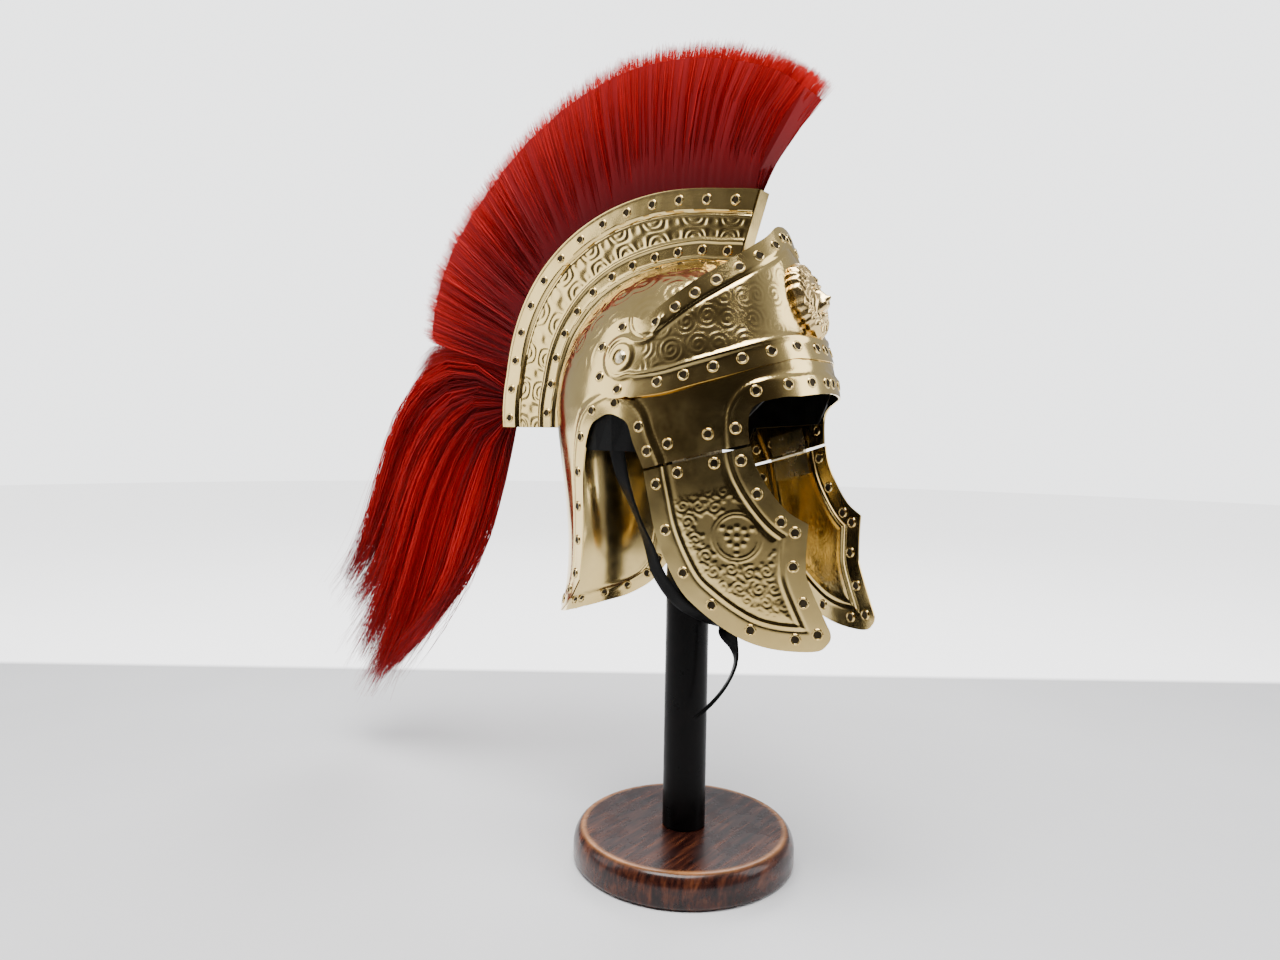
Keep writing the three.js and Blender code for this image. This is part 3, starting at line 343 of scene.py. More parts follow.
def along_axis(tree, place, axis):
    """How far a place lies along an axis."""
    return add_node(tree, "VectorMath", {0: place, 1: axis}, operation="DOT_PRODUCT").outputs["Value"]


def brass_material(name, light, dark, rough_low, rough_high):
    material, tree, shader = new_material(name)
    wavy = bumps(tree, noise(tree, 22, 2), 0.12, 0.003)
    fine = noise(tree, 900, 3, 0.6, (1, 1, 0.3))
    fill(tree, shader, {
        "Base Color": ramp(tree, noise(tree, 14, 5), [(0.3, dark), (0.7, light)]),
        "Metallic": 1.0,
        "Roughness": spread(tree, noise(tree, 45, 6, 0.65), rough_low, rough_high),
        "Normal": bumps(tree, fine, 0.05, 0.0003, Normal=wavy),
    })
    return material


def hair_material():
    material, tree, shader = new_material("red_hair")
    # The tone attribute runs from dark to bright red: each strand's own tone, with painted shade toward
    # the roots and inside the hair and painted light toward the tips
    shade = add_node(tree, "Attribute", attribute_name="tone").outputs["Fac"]
    fill(tree, shader, {
        "Base Color": ramp(tree, shade, [
            (0.0, (0.085, 0.001, 0.003)), (0.35, (0.24, 0.003, 0.005)),
            (0.7, (0.52, 0.008, 0.009)), (1.0, (0.80, 0.022, 0.018)),
        ]),
        "Roughness": 0.58,
        "Specular IOR Level": 0.12,
    })
    return material


def leather_material():
    material, tree, shader = new_material("black_leather")
    place = add_node(tree, "TexCoord").outputs["Object"]
    cells = add_node(tree, "TexVoronoi", {"Vector": place, "Scale": 900}).outputs["Distance"]
    wear = noise(tree, 60, 5)
    fill(tree, shader, {
        "Base Color": ramp(tree, wear, [(0.3, (0.002, 0.002, 0.002)), (0.75, (0.006, 0.006, 0.006))]),
        "Roughness": spread(tree, wear, 0.35, 0.55),
        "Specular IOR Level": 0.06,
        "Normal": bumps(tree, cells, 0.35, 0.0003),
    })
    return material


def wood_material():
    material, tree, shader = new_material("walnut")
    grain = noise(tree, 9, 6, 0.6, (2.2, 16, 5))
    streak = noise(tree, 60, 5, 0.6, (0.5, 6, 2))
    mix = math_node(tree, "MULTIPLY_ADD", streak, 0.45, math_node(tree, "MULTIPLY", grain, 0.6))
    tone = ramp(tree, mix, [
        (0.38, (0.006, 0.002, 0.002)), (0.5, (0.026, 0.007, 0.005)), (0.6, (0.075, 0.021, 0.010)),
        (0.74, (0.17, 0.055, 0.022)),
    ])
    # The wear attribute marks a thin line round the top edge, mixed to light orange: worn finish and a
    # painted highlight on the rounded edge
    wear = add_node(tree, "Attribute", attribute_name="wear").outputs["Fac"]
    patch = noise(tree, 40, 5)
    wear_and_edge_highlight = math_node(tree, "MULTIPLY", wear, patch)
    fill(tree, shader, {
        "Base Color": mixed_color(tree, wear_and_edge_highlight, tone, (0.62, 0.27, 0.10, 1)),
        "Roughness": spread(tree, patch, 0.2, 0.34),
        "Specular IOR Level": 0.25,
        "Coat Weight": 0.2,
        "Coat Roughness": 0.15,
        "Normal": bumps(tree, mix, 0.15, 0.0006),
    })
    return material


def plain_material(name, dark, light, rough_low, rough_high, metallic=0.0):
    material, tree, shader = new_material(name)
    wear = noise(tree, 60, 5)
    fill(tree, shader, {
        "Base Color": ramp(tree, wear, [(0.3, dark), (0.7, light)]),
        "Roughness": spread(tree, wear, rough_low, rough_high),
        "Metallic": metallic,
        "Specular IOR Level": 0.07,
        "Normal": bumps(tree, wear, 0.12, 0.0004),
    })
    return material


BRASS = brass_material("brass_sheet", (0.82, 0.62, 0.26), (0.64, 0.46, 0.17), 0.09, 0.2)
GILT = brass_material("gilt_cast", (0.92, 0.70, 0.34), (0.74, 0.50, 0.2), 0.18, 0.32)
FITTING = brass_material("steel_fitting", (0.78, 0.68, 0.46), (0.62, 0.52, 0.32), 0.18, 0.32)
# Near-black material for the rivets' flat centres: painted shade of the hollow in each rivet
PAINTED_SHADE_BORE = plain_material("rivet_bore_painted_shade", (0.02, 0.014, 0.008), (0.06, 0.045, 0.025), 0.4, 0.6, 0.6)
LEATHER = leather_material()
WALNUT = wood_material()
POST_BLACK = plain_material("black_paint", (0.002, 0.002, 0.002), (0.005, 0.004, 0.004), 0.25, 0.38)
METAL_BLACK = plain_material("black_metal", (0.004, 0.004, 0.004), (0.01, 0.01, 0.01), 0.3, 0.45)
HAIR = hair_material()


# Form of the skull

def flare(drop):
    xs, ys = NECK_FLARE[:, 0], NECK_FLARE[:, 1]
    slope = np.gradient(ys, xs)
    t = np.clip(drop, 0, xs[-1])
    i = np.clip(np.searchsorted(xs, t, side="right") - 1, 0, len(xs) - 2)
    h = xs[i + 1] - xs[i]
    u = (t - xs[i]) / h
    return ((2 * u ** 3 - 3 * u ** 2 + 1) * ys[i] + (u ** 3 - 2 * u ** 2 + u) * h * slope[i]
            + (3 * u ** 2 - 2 * u ** 3) * ys[i + 1] + (u ** 3 - u ** 2) * h * slope[i + 1])


def plan_point(angle, scale, grow=0.0):
    cos, sin = np.cos(angle), np.sin(angle)
    length = np.where(cos > 0, SKULL_FRONT, SKULL_BACK) + grow
    full = np.where(cos > 0, 1 + FRONT_FULLNESS * cos ** 2, 1.0)
    return (HALF_WIDTH + grow) * scale * sin * full, length * scale * cos


def dome_scale(height):
    rise = (np.asarray(height, float) - RIM_HEIGHT) / DOME_HEIGHT
    return np.where(rise > 0, np.sqrt(np.clip(1 - rise ** 2, 0, 1)), 1.0)


def ring_width(forward, scale, grow=0.0):
    f = np.asarray(forward, float)
    length = (np.where(f > 0, SKULL_FRONT, SKULL_BACK) + grow) * scale
    share = f / np.maximum(length, 1e-6)
    full = np.where(f > 0, 1 + FRONT_FULLNESS * share ** 2, 1.0)
    return (HALF_WIDTH + grow) * scale * np.sqrt(np.clip(1 - share ** 2, 0, 1)) * full


def skull_side(points):
    p = np.asarray(points, float)
    length = np.where(p[:, 0] > 0, SKULL_FRONT, SKULL_BACK)
    return np.stack([p[:, 0] * length, RIM_HEIGHT - p[:, 1] * NECK_DROP], 1)


split_ends = skull_side([SPLIT_REAR, SPLIT_FRONT])
split_slope = (split_ends[1, 1] - split_ends[0, 1]) / (split_ends[1, 0] - split_ends[0, 0])


def split_height(forward):
    return split_ends[0, 1] + split_slope * (forward - split_ends[0, 0])


# The skull is laid out flat round its crown: distance from the crown runs down the meridian.
DOME_RUN = 182.0


def neck_scale(angle, height):
    drop = np.clip((RIM_HEIGHT - height) / NECK_DROP, 0, 1.1)
    blend = smooth(-np.cos(angle) / NECK_BLEND)
    return 1 + (flare(drop) - 1) * blend


def skull_surface(u, v, grow=0.0):
    run = np.hypot(u, v)
    angle = np.arctan2(v, u)
    lean = np.clip(run / DOME_RUN, 0, 1) * (math.pi / 2)
    height = np.where(run < DOME_RUN, RIM_HEIGHT + (DOME_HEIGHT + grow) * np.cos(lean),
                      RIM_HEIGHT - (run - DOME_RUN))
    scale = np.where(run < DOME_RUN, np.sin(lean), neck_scale(angle, height))
    x, f = plan_point(angle, scale, grow)
    return np.stack([x, f, height], -1)


def skull_flat(side_points, side):
    """Flat layout of points given in side view."""
    f, z = np.asarray(side_points, float).T
    length = np.where(f > 0, SKULL_FRONT, SKULL_BACK)
    angle = np.arccos(np.clip(f / (length * dome_scale(z)), -1, 1))
    for _ in range(12):
        scale = np.where(z > RIM_HEIGHT, dome_scale(z), neck_scale(angle, z))
        angle = np.arccos(np.clip(f / (length * scale), -1, 1))
    lean = np.arccos(np.clip((z - RIM_HEIGHT) / DOME_HEIGHT, 0, 1))
    run = np.where(z > RIM_HEIGHT, lean / (math.pi / 2) * DOME_RUN, DOME_RUN + RIM_HEIGHT - z)
    return np.stack([run * np.cos(angle), side * run * np.sin(angle)], 1)


# Sheets trimmed to an outline

def inside(points, polygon):
    x, y = points[:, 0], points[:, 1]
    hit = np.zeros(len(points), bool)
    px, py = polygon[:, 0], polygon[:, 1]
    qx, qy = np.roll(px, -1), np.roll(py, -1)
    for k in range(len(polygon)):
        if py[k] == qy[k]:
            continue
        cross = (py[k] > y) != (qy[k] > y)
        hit ^= cross & (x < (qx[k] - px[k]) * (y - py[k]) / (qy[k] - py[k]) + px[k])
    return hit


def snap(points, polygon):
    """Nearest points of a closed polygon."""
    a = polygon
    b = np.roll(polygon, -1, 0)
    ab = b - a
    size = np.maximum((ab ** 2).sum(1), 1e-12)
    out = np.empty_like(points)
    for start in range(0, len(points), 2000):
        p = points[start:start + 2000, None, :]
        t = np.clip(((p - a) * ab).sum(2) / size, 0, 1)
        near = a + t[..., None] * ab
        best = ((near - p) ** 2).sum(2).argmin(1)
        out[start:start + 2000] = near[np.arange(len(best)), best]
    return out


def neighbour_mean(place, pairs):
    """Mean place of the neighbours of each point."""
    total = np.zeros_like(place)
    share = np.zeros(len(place))
    for p, q in ((0, 1), (1, 0)):
        np.add.at(total, pairs[:, p], place[pairs[:, q]])
        np.add.at(share, pairs[:, p], 1)
    return total / np.maximum(share, 1)[:, None]


def trimmed_grid(polygon, step, corners=()):
    """Grid of quads that fills a closed outline, its edge vertices lying on the outline."""
    low, high = polygon.min(0) - step, polygon.max(0) + step
    xs = np.arange(low[0], high[0] + step, step)
    ys = np.arange(low[1], high[1] + step, step)
    cx, cy = np.meshgrid(xs[:-1] + step / 2, ys[:-1] + step / 2)
    keep = inside(np.stack([cx.ravel(), cy.ravel()], 1), polygon).reshape(cx.shape)
    for _ in range(6):
        a, b, c, d = keep[:-1, :-1], keep[:-1, 1:], keep[1:, :-1], keep[1:, 1:]
        one = a & d & ~b & ~c
        two = b & c & ~a & ~d
        if not (one.any() or two.any()):
            break
        keep[:-1, :-1][one] = False
        keep[:-1, 1:][two] = False
    near = (keep[1:-1, :-2].astype(int) + keep[1:-1, 2:] + keep[:-2, 1:-1] + keep[2:, 1:-1])
    keep[1:-1, 1:-1] &= near > 0
    rows, cols = np.nonzero(keep)
    wide = len(xs)
    quads = np.stack([rows * wide + cols, rows * wide + cols + 1, (rows + 1) * wide + cols + 1,
                      (rows + 1) * wide + cols], 1)
    used, flat = np.unique(quads.ravel(), return_inverse=True)
    quads = flat.reshape(-1, 4)
    place = np.stack([xs[used % wide], ys[used // wide]], 1)
    edges = np.concatenate([quads[:, [0, 1]], quads[:, [1, 2]], quads[:, [2, 3]], quads[:, [3, 0]]])
    key = np.sort(edges, 1)
    code = key[:, 0].astype(np.int64) * len(place) + key[:, 1]
    _, index, count = np.unique(code, return_inverse=True, return_counts=True)
    rim = edges[count[index] == 1]
    on_rim = np.zeros(len(place), bool)
    on_rim[rim.ravel()] = True
    rim_ids = np.nonzero(on_rim)[0]
    place[rim_ids] = snap(place[rim_ids], polygon)
    pinned = []
    for corner in corners:
        best = rim_ids[((place[rim_ids] - corner) ** 2).sum(1).argmin()]
        place[best] = corner
        pinned.append(best)
    every = np.unique(key, axis=0)
    for _ in range(8):
        moved = neighbour_mean(place, every)
        moved[rim_ids] = snap(neighbour_mean(place, rim)[rim_ids], polygon)
        moved[pinned] = place[pinned]
        place = moved
    return place, quads, rim


def outward(surface, u, v, step=0.4):
    """Unit normal in (x, f, z) that points away from the helmet's middle."""
    n = unit(np.cross(surface(u + step, v) - surface(u - step, v),
                      surface(u, v + step) - surface(u, v - step)))
    away = surface(u, v) - np.array([0, 0, RIM_HEIGHT - 40.0])
    sign = np.sign((n * away).sum(-1, keepdims=True))
    return n * np.where(sign == 0, 1, sign)


def point_tree(points):
    tree = KDTree(len(points))
    for i, p in enumerate(points):
        tree.insert(Vector(p), i)
    tree.balance()
    return tree


def distance_to(points, line):
    """Distance in millimetres from each point to a dense polyline."""
    tree = point_tree(line)
    return np.array([tree.find(Vector(p))[2] for p in points])


def both_sides(surface, lines):
    """Solid points close together along the right and the left edge."""
    flat = np.vstack([resample(line, EDGE_STEP) for line in lines])
    return surface(flat[:, 0], flat[:, 1])


def sheet_piece(name, place, quads, rim, surface, relief, thickness=SHEET):
    """Closed pressed sheet: the outer face with its relief, the inner face and the cut edge."""
    u, v = place[:, 0], place[:, 1]
    p = surface(u, v)
    n = outward(surface, u, v)
    form, art = relief(u, v, p, True)
    outer = p + n * (form + art)[:, None]
    inner = p + n * (0.8 * form + 0.15 * art - thickness)[:, None]
    count = len(place)
    a, b, c = (outer[quads[:64, k]] for k in range(3))
    facing = (np.cross(b - a, c - a) * n[quads[:64, 0]]).sum()
    front = quads if facing < 0 else quads[:, ::-1]
    edge = rim if facing < 0 else rim[:, ::-1]
    sides = np.stack([edge[:, 1], edge[:, 0], edge[:, 0] + count, edge[:, 1] + count], 1)
    faces = np.concatenate([front, front[:, ::-1] + count, sides])
    return make_mesh(name, to_scene(np.concatenate([outer, inner])), faces)


def rivet_spots(surface, line, polygon, count, first, last, inset=RIVET_INSET):
    """Layout points of evenly spaced rivets between two runs along an edge, set inside it."""
    fine = resample(line, EDGE_STEP)
    solid = surface(fine[:, 0], fine[:, 1])
    run = run_along(solid)
    eps = 0.5
    spots = []
    for at in np.linspace(first, last, count):
        k = int(np.clip(np.searchsorted(run, at), 3, len(fine) - 4))
        tangent = unit(solid[k + 3] - solid[k - 3])
        du, dv = ((surface(*(fine[k] + way)[:, None]) - surface(*(fine[k] - way)[:, None]))[0]
                  for way in eps * np.eye(2))
        across = np.cross(unit(np.cross(du, dv)), tangent) * inset
        step = np.linalg.lstsq(np.stack([du, dv], 1), across * 2 * eps, rcond=None)[0]
        near = np.array([fine[k] + step, fine[k] - step])
        spots.append(near[0] if inside(near, polygon)[0] else near[1])
    return np.array(spots)


# Rivets: short tubes whose ends are rolled over, on both faces of the sheet

RIVET_SIDES = 12
RIVET_PROFILE = [(2.95, 0.24), (3.1, 0.66), (3.45, 0.95), (4.0, 0.92), (4.6, 0.5), (4.8, -0.2)]


def rivet_piece(name, body, sets):
    """All rivets on one body; sets are (surface, relief, layout points)."""
    turn = 2 * np.pi * np.arange(RIVET_SIDES) / RIVET_SIDES
    rings, metal, dark, count = [], [], [], 0
    tube = ring_quads(len(RIVET_PROFILE), RIVET_SIDES)
    disc = fan(len(RIVET_PROFILE) * RIVET_SIDES, np.arange(RIVET_SIDES))[:, ::-1]
    for surface, relief, spots in sets:
        u, v = spots[:, 0], spots[:, 1]
        p = surface(u, v)
        n = outward(surface, u, v)
        p = p + n * relief(u, v, p, False)[0][:, None]
        for centre, normal in zip(p, n):
            side = unit(np.cross(normal, [0, 0, 1.0]))
            up = np.cross(side, normal)
            for face in (1, -1):
                base = centre if face > 0 else centre - normal * SHEET
                verts = [base + normal * rise * face + radius * (side * math.cos(a) + up * math.sin(a))
                         for radius, rise in RIVET_PROFILE for a in turn]
                verts.append(base + normal * RIVET_PROFILE[0][1] * face)
                rings.append(verts)
                order = slice(None) if face > 0 else slice(None, None, -1)
                metal.append(tube[:, order] + count)
                dark.append(disc[:, order] + count)
                count += len(verts)
    metal, dark = np.concatenate(metal), np.concatenate(dark)
    piece = make_mesh(name, to_scene(np.concatenate(rings)), [metal, dark], sharp=70)
    finish_piece(piece, body, "brass_sheet", BRASS)
    # The flat centre and the inner lip round it take the near-black material: painted shade of the
    # rivet's hollow
    piece.data.materials.append(PAINTED_SHADE_BORE)
    index = np.zeros(len(metal) + len(dark), np.int32)
    index[len(metal):] = 1
    index[:len(metal)][np.arange(len(metal)) % len(tube) < RIVET_SIDES] = 1
    piece.data.polygons.foreach_set("material_index", index)


# Ornament

def swirl_field(u, v, seed, cell, pitch):
    """Engraved spirals: one round each of a set of scattered centres."""
    rng = np.random.default_rng(seed)
    low = np.array([u.min(), v.min()]) - cell
    high = np.array([u.max(), v.max()]) + cell
    gx, gy = np.meshgrid(np.arange(low[0], high[0], cell), np.arange(low[1], high[1], cell))
    shift = (np.arange(gx.shape[0]) % 2)[:, None] * cell / 2
    centres = np.stack([(gx + shift).ravel(), gy.ravel()], 1)
    centres += rng.uniform(-0.28, 0.28, centres.shape) * cell
    turn = rng.choice([-1, 1], len(centres))
    tree = point_tree(np.column_stack([centres, np.zeros(len(centres))]))
    out = np.empty(len(u))
    for k in range(len(u)):
        (c0, i0, d0), (_, _, d1) = tree.find_n(Vector((u[k], v[k], 0)), 2)
        angle = math.atan2(v[k] - c0.y, u[k] - c0.x) * turn[i0]
        out[k] = math.sin(2 * math.pi * d0 / pitch + angle) * min(1.0, max(0.0, (d1 - d0) / 3.0))
    return out


def band_form(past):
    """Raised band along an edge with a bead on its inner side and a fine groove beyond it; past is
    the distance beyond the band."""
    return 0.9 * (1 - smooth(past / 2.3)) + 0.6 * bump(past, -1.4, 1.8) - 0.4 * bump(past, 2.4, 1.5)


def curl(centre, radius, turns, start, hand):
    """Points of a spiral that winds in from its radius."""
    t = np.linspace(0, 1, int(60 * turns))
    angle = start + hand * 2 * np.pi * turns * t
    r = radius * (1 - 0.88 * t ** 0.85)
    return np.stack([centre[0] + r * np.cos(angle), centre[1] + r * np.sin(angle)], 1)


def foliage(centre, radius, start, hand, rng):
    """A scroll with small leaves round it."""
    lines = [curl(centre, radius, 1.6, start, hand)]
    for k in range(5):
        angle = start + hand * (0.7 + k * 1.15)
        root = np.array(centre) + radius * 0.86 * np.array([math.cos(angle), math.sin(angle)])
        lean = angle + hand * 0.9
        tip = root + radius * 0.42 * np.array([math.cos(lean), math.sin(lean)])
        lines.append(curl((root + tip) / 2, radius * rng.uniform(0.2, 0.3), 0.8, lean + math.pi, -hand))
    return lines


def line_relief(u, v, lines, width):
    """Height between 0 and 1 of thin raised lines drawn in the layout."""
    dots = np.vstack([resample(line, 0.4) for line in lines])
    flat = np.concatenate([dots, np.zeros((len(dots), 1))], 1)
    return bump(distance_to(np.stack([u, v, 0 * u], 1), flat), 0, width)


# Skull piece

def skull_outlines():
    lift = [0, SPLIT_GAP / 2]
    ear, eye, neck = (skull_side(edge) for edge in (EAR_EDGE, EYE_EDGE, NECK_EDGE))
    rear, front = split_ends + lift
    neck_line = np.vstack([ear[-1:], neck])
    return {
        "eye": spline(np.vstack([front, eye]), 14),
        "split": np.linspace(rear, front, 30),
        "ear": spline(np.vstack([rear, ear]), 14),
        "neck": spline(neck_line, 10),
    }


# Rows of rivets: the edge, how many, where along it the first and the last are, and the brow's inset
SKULL_RIVETS = [("eye", 5, 12, 104), ("ear", 5, 11, 100), ("ear", 4, 129, 219), ("neck", 4, 20, 103)]
CHEEK_RIVETS = [(7, 12, 236), (6, 262, 385)]
BROW_RIVETS = [(0, 8, 7, 140, 9.6), (1, 4, 22, 124, 7.5), (2, 7, 26, 169, 9.8)]
# Rivets of the hinge leaves in side view
HINGE_RIVETS_UPPER = [(35, 370), (67, 378)]
HINGE_RIVETS_LOWER = [(44, 348), (72, 356)]


def make_skull():
    flats = {(name, side): skull_flat(line, side)
             for side in (-1, 1) for name, line in skull_outlines().items()}
    right = np.vstack([flats["eye", -1][::-1], flats["split", -1][::-1], flats["ear", -1],
                       flats["neck", -1]])
    left = np.vstack([flats["neck", 1][::-1], flats["ear", 1][::-1], flats["split", 1],
                      flats["eye", 1]])
    outline = without_doubles(np.vstack([right, left]))
    corners = [flats[name, side][0] for side in (-1, 1) for name in ("eye", "split")]
    place, quads, rim = trimmed_grid(outline, SKULL_GRID, corners)
    edges = {name: both_sides(skull_surface, [flats[name, side] for side in (-1, 1)])
             for name in ("eye", "ear", "neck")}

    def relief(u, v, p, with_art):
        to_eye, to_ear, to_neck = (distance_to(p, edges[name]) for name in ("eye", "ear", "neck"))
        lead = np.minimum(np.minimum(to_eye - EYE_BAND, to_ear - EAR_BAND), to_neck - NECK_BAND)
        form = band_form(lead)
        front = smooth((p[:, 1] - 60) / 50)
        form += 1.4 * front * smooth(1 - to_eye / 24)
        if not with_art:
            return form, 0 * form
        dome = smooth((p[:, 2] - RIM_HEIGHT - 25) / 20) * smooth((lead - 4) / 6)
        return form, 0.32 * dome * swirl_field(u, v, seed=5, cell=28, pitch=7.0)

    piece = sheet_piece("skull_shell", place, quads, rim, skull_surface, relief)
    finish_piece(piece, "helmet", "brass_sheet", BRASS, "skull")
    sets = []
    for side in (-1, 1):
        for name, *run in SKULL_RIVETS:
            spots = rivet_spots(skull_surface, flats[name, side], outline, *run)
            sets.append((skull_surface, relief, spots))
        sets.append((skull_surface, relief, skull_flat(np.array(HINGE_RIVETS_UPPER, float), side)))
    return sets


# Cheek plates

def cheek_plan():
    """Table of arc length, forward and half-width along the cheek plates' plan."""
    start = CHEEK_TAPER_START * SKULL_FRONT
    f = np.linspace(0.02 * SKULL_FRONT, 1.3 * SKULL_FRONT, 400)
    flat = ring_width(start, 1.0) - CHEEK_TAPER * (f - start)
    w = np.where(f <= start, ring_width(np.minimum(f, start), 1.0), flat)
    kernel = np.ones(21) / 21
    padded = np.concatenate([np.full(10, w[0]), w, w[-1] + (w[-1] - w[-2]) * np.arange(1, 11)])
    eased = np.convolve(padded, kernel, "valid")
    w = np.where(f < 0.1 * SKULL_FRONT, w, eased)
    s = np.concatenate([[0], np.cumsum(np.hypot(np.diff(f), np.diff(w)))])
    return s, f, w


PLAN_S, PLAN_F, PLAN_W = cheek_plan()


def cheek_surface_for(side):
    def surface(u, v):
        f = np.interp(u, PLAN_S, PLAN_F)
        return np.stack([side * np.interp(u, PLAN_S, PLAN_W), f, v + 0 * u], -1)
    return surface


def cheek_points(points):
    p = np.asarray(points, float)
    return np.stack([p[:, 0] * SKULL_FRONT, RIM_HEIGHT - p[:, 1] * CHEEK_DROP], 1)


def cheek_outline():
    """Side-view outline without its top, cut along the split."""
    rear = cheek_points(CHEEK_REAR_EDGE)
    front = spline(np.vstack([rear[-1:], cheek_points(CHEEK_FRONT_EDGE)]), 10)[1:]
    line = np.vstack([spline(rear, 10), front])
    above = line[:, 1] - (split_height(line[:, 0]) - SPLIT_GAP / 2)
    first, last = np.nonzero(above < 0)[0][[0, -1]]

    def crossing(i, j):
        return line[i] + (line[j] - line[i]) * above[i] / (above[i] - above[j])

    return np.vstack([crossing(first - 1, first), line[first:last + 1], crossing(last, last + 1)])


def to_plan(line):
    return np.stack([np.interp(line[:, 0], PLAN_F, PLAN_S), line[:, 1]], 1)


CHEEK_FLOWER = (0.69, 0.54)
FLOWER_RING = 19.0
SCROLL_CELL = 13.5


def make_cheek(name, side):
    surface = cheek_surface_for(side)
    line = cheek_outline()
    edge_line = to_plan(line)
    outline = np.vstack([edge_line, np.linspace(edge_line[-1], edge_line[0], 40)[1:-1]])
    corner = to_plan(cheek_points(CHEEK_REAR_EDGE[-1:]))[0]
    place, quads, rim = trimmed_grid(outline, CHEEK_GRID, [edge_line[0], edge_line[-1], corner])
    edge = resample(edge_line, 0.7)
    edge_solid = surface(edge[:, 0], edge[:, 1])
    flower = to_plan(cheek_points([CHEEK_FLOWER]))[0]
    around = np.linspace(0, 2 * np.pi, 120)
    circle = np.stack([np.cos(around), np.sin(around)], 1)
    lines = [flower + FLOWER_RING * circle, flower + (FLOWER_RING - 2.6) * circle]
    dots = [flower + 7.5 * np.array([math.cos(a), math.sin(a)]) for a in np.arange(8) * math.pi / 4]
    dots += [flower, flower + [0, -13.0], flower + [-11.5, 6.5], flower + [11.5, 6.5]]
    rng = np.random.default_rng(12)
    low, high = outline.min(0), outline.max(0)
    for row, v in enumerate(np.arange(low[1], high[1], SCROLL_CELL * 0.87)):
        for column, u in enumerate(np.arange(low[0], high[0], SCROLL_CELL)):
            spot = np.array([u + (row % 2) * SCROLL_CELL / 2, v]) + rng.uniform(-1.5, 1.5, 2)
            if np.linalg.norm(spot - flower) > FLOWER_RING + 6:
                hand = 1 if (row + column) % 2 else -1
                lines += foliage(spot, SCROLL_CELL * 0.5, rng.uniform(0, 6.28), hand, rng)

    def relief(u, v, p, with_art):
        d = distance_to(p, edge_solid)
        form = (0.9 * bump(d, CHEEK_BAND + 1, 1.6) - 0.4 * bump(d, CHEEK_BAND - 1.6, 1.1)
                + 0.6 * smooth((d - CHEEK_BAND - 3) / 6))
        if not with_art:
            return form, 0 * form
        panel = smooth((d - CHEEK_BAND - 4) / 2) * smooth((split_height(p[:, 1]) - 26 - v) / 8)
        art = 0.3 * line_relief(u, v, lines, 0.72)
        r = np.hypot(u - flower[0], v - flower[1])
        near = np.min([np.hypot(u - a, v - b) for a, b in dots], axis=0)
        core = r < FLOWER_RING - 3.4
        art = np.where(core, 0.5 * bump(near, 0, 1.5), art)
        return form, panel * art

    piece = sheet_piece(f"cheek_shell_{name}", place, quads, rim, surface, relief)
    finish_piece(piece, f"cheek_{name}", "brass_sheet", BRASS, f"cheek_plate_{name}")
    sets = [(surface, relief, rivet_spots(surface, edge_line, outline, *run))
            for run in CHEEK_RIVETS]
    sets.append((surface, relief, to_plan(np.array(HINGE_RIVETS_LOWER, float))))
    rivet_piece(f"cheek_rivets_{name}", f"cheek_{name}", sets)


# Brow plate

BROW_LAY = 110.0


def brow_scale(height):
    cone = (BROW_PEAK_FORWARD / (SKULL_FRONT + BROW_OUTER)
            + BROW_LEAN * (RIM_HEIGHT + BROW_PEAK_RISE - height))
    dome = dome_scale(height)
    gap = np.clip(0.5 + 0.5 * (dome - cone) / 0.012, 0, 1)
    return cone * (1 - gap) + dome * gap + 0.012 * gap * (1 - gap)


def brow_surface(u, v):
    x, f = plan_point(u / BROW_LAY, brow_scale(v), BROW_OUTER)
    return np.stack([x, f, v + 0 * u], -1)


def brow_flat(points, side):
    f, z = points.T
    length = np.where(f > 0, SKULL_FRONT, SKULL_BACK) + BROW_OUTER
    angle = np.arccos(np.clip(f / (length * brow_scale(z)), -1, 1))
    return np.stack([side * angle * BROW_LAY, z], 1)


def brow_lines():
    top = np.array(BROW_TOP_EDGE) * [BROW_PEAK_FORWARD, BROW_PEAK_RISE] + [0, RIM_HEIGHT]
    lower = np.array(BROW_LOWER_EDGE) * [SKULL_FRONT, DOME_HEIGHT] + [0, RIM_HEIGHT]
    peak = np.array([[BROW_PEAK_FORWARD, RIM_HEIGHT + BROW_PEAK_RISE]])
    start = math.atan2(top[-1, 1] - BOSS_HEIGHT, top[-1, 0] - BOSS_FORWARD)
    end = math.atan2(lower[0, 1] - BOSS_HEIGHT, lower[0, 0] - BOSS_FORWARD) + 2 * math.pi
    turn = np.linspace(start, end, 60)[1:-1]
    boss = np.stack([BOSS_FORWARD + BOSS_RADIUS * np.cos(turn),
                     BOSS_HEIGHT + BOSS_RADIUS * np.sin(turn)], 1)
    upper = spline(np.vstack([peak, top]), 14)
    low_line = spline(lower, 14)
    reach = (SKULL_FRONT + BROW_OUTER) * brow_scale(low_line[:, 1])
    low_line = low_line[low_line[:, 0] < reach]
    tip = low_line[-1].copy()
    tip[0] = (SKULL_FRONT + BROW_OUTER) * brow_scale(tip[1])
    return upper, boss, np.vstack([low_line, tip])


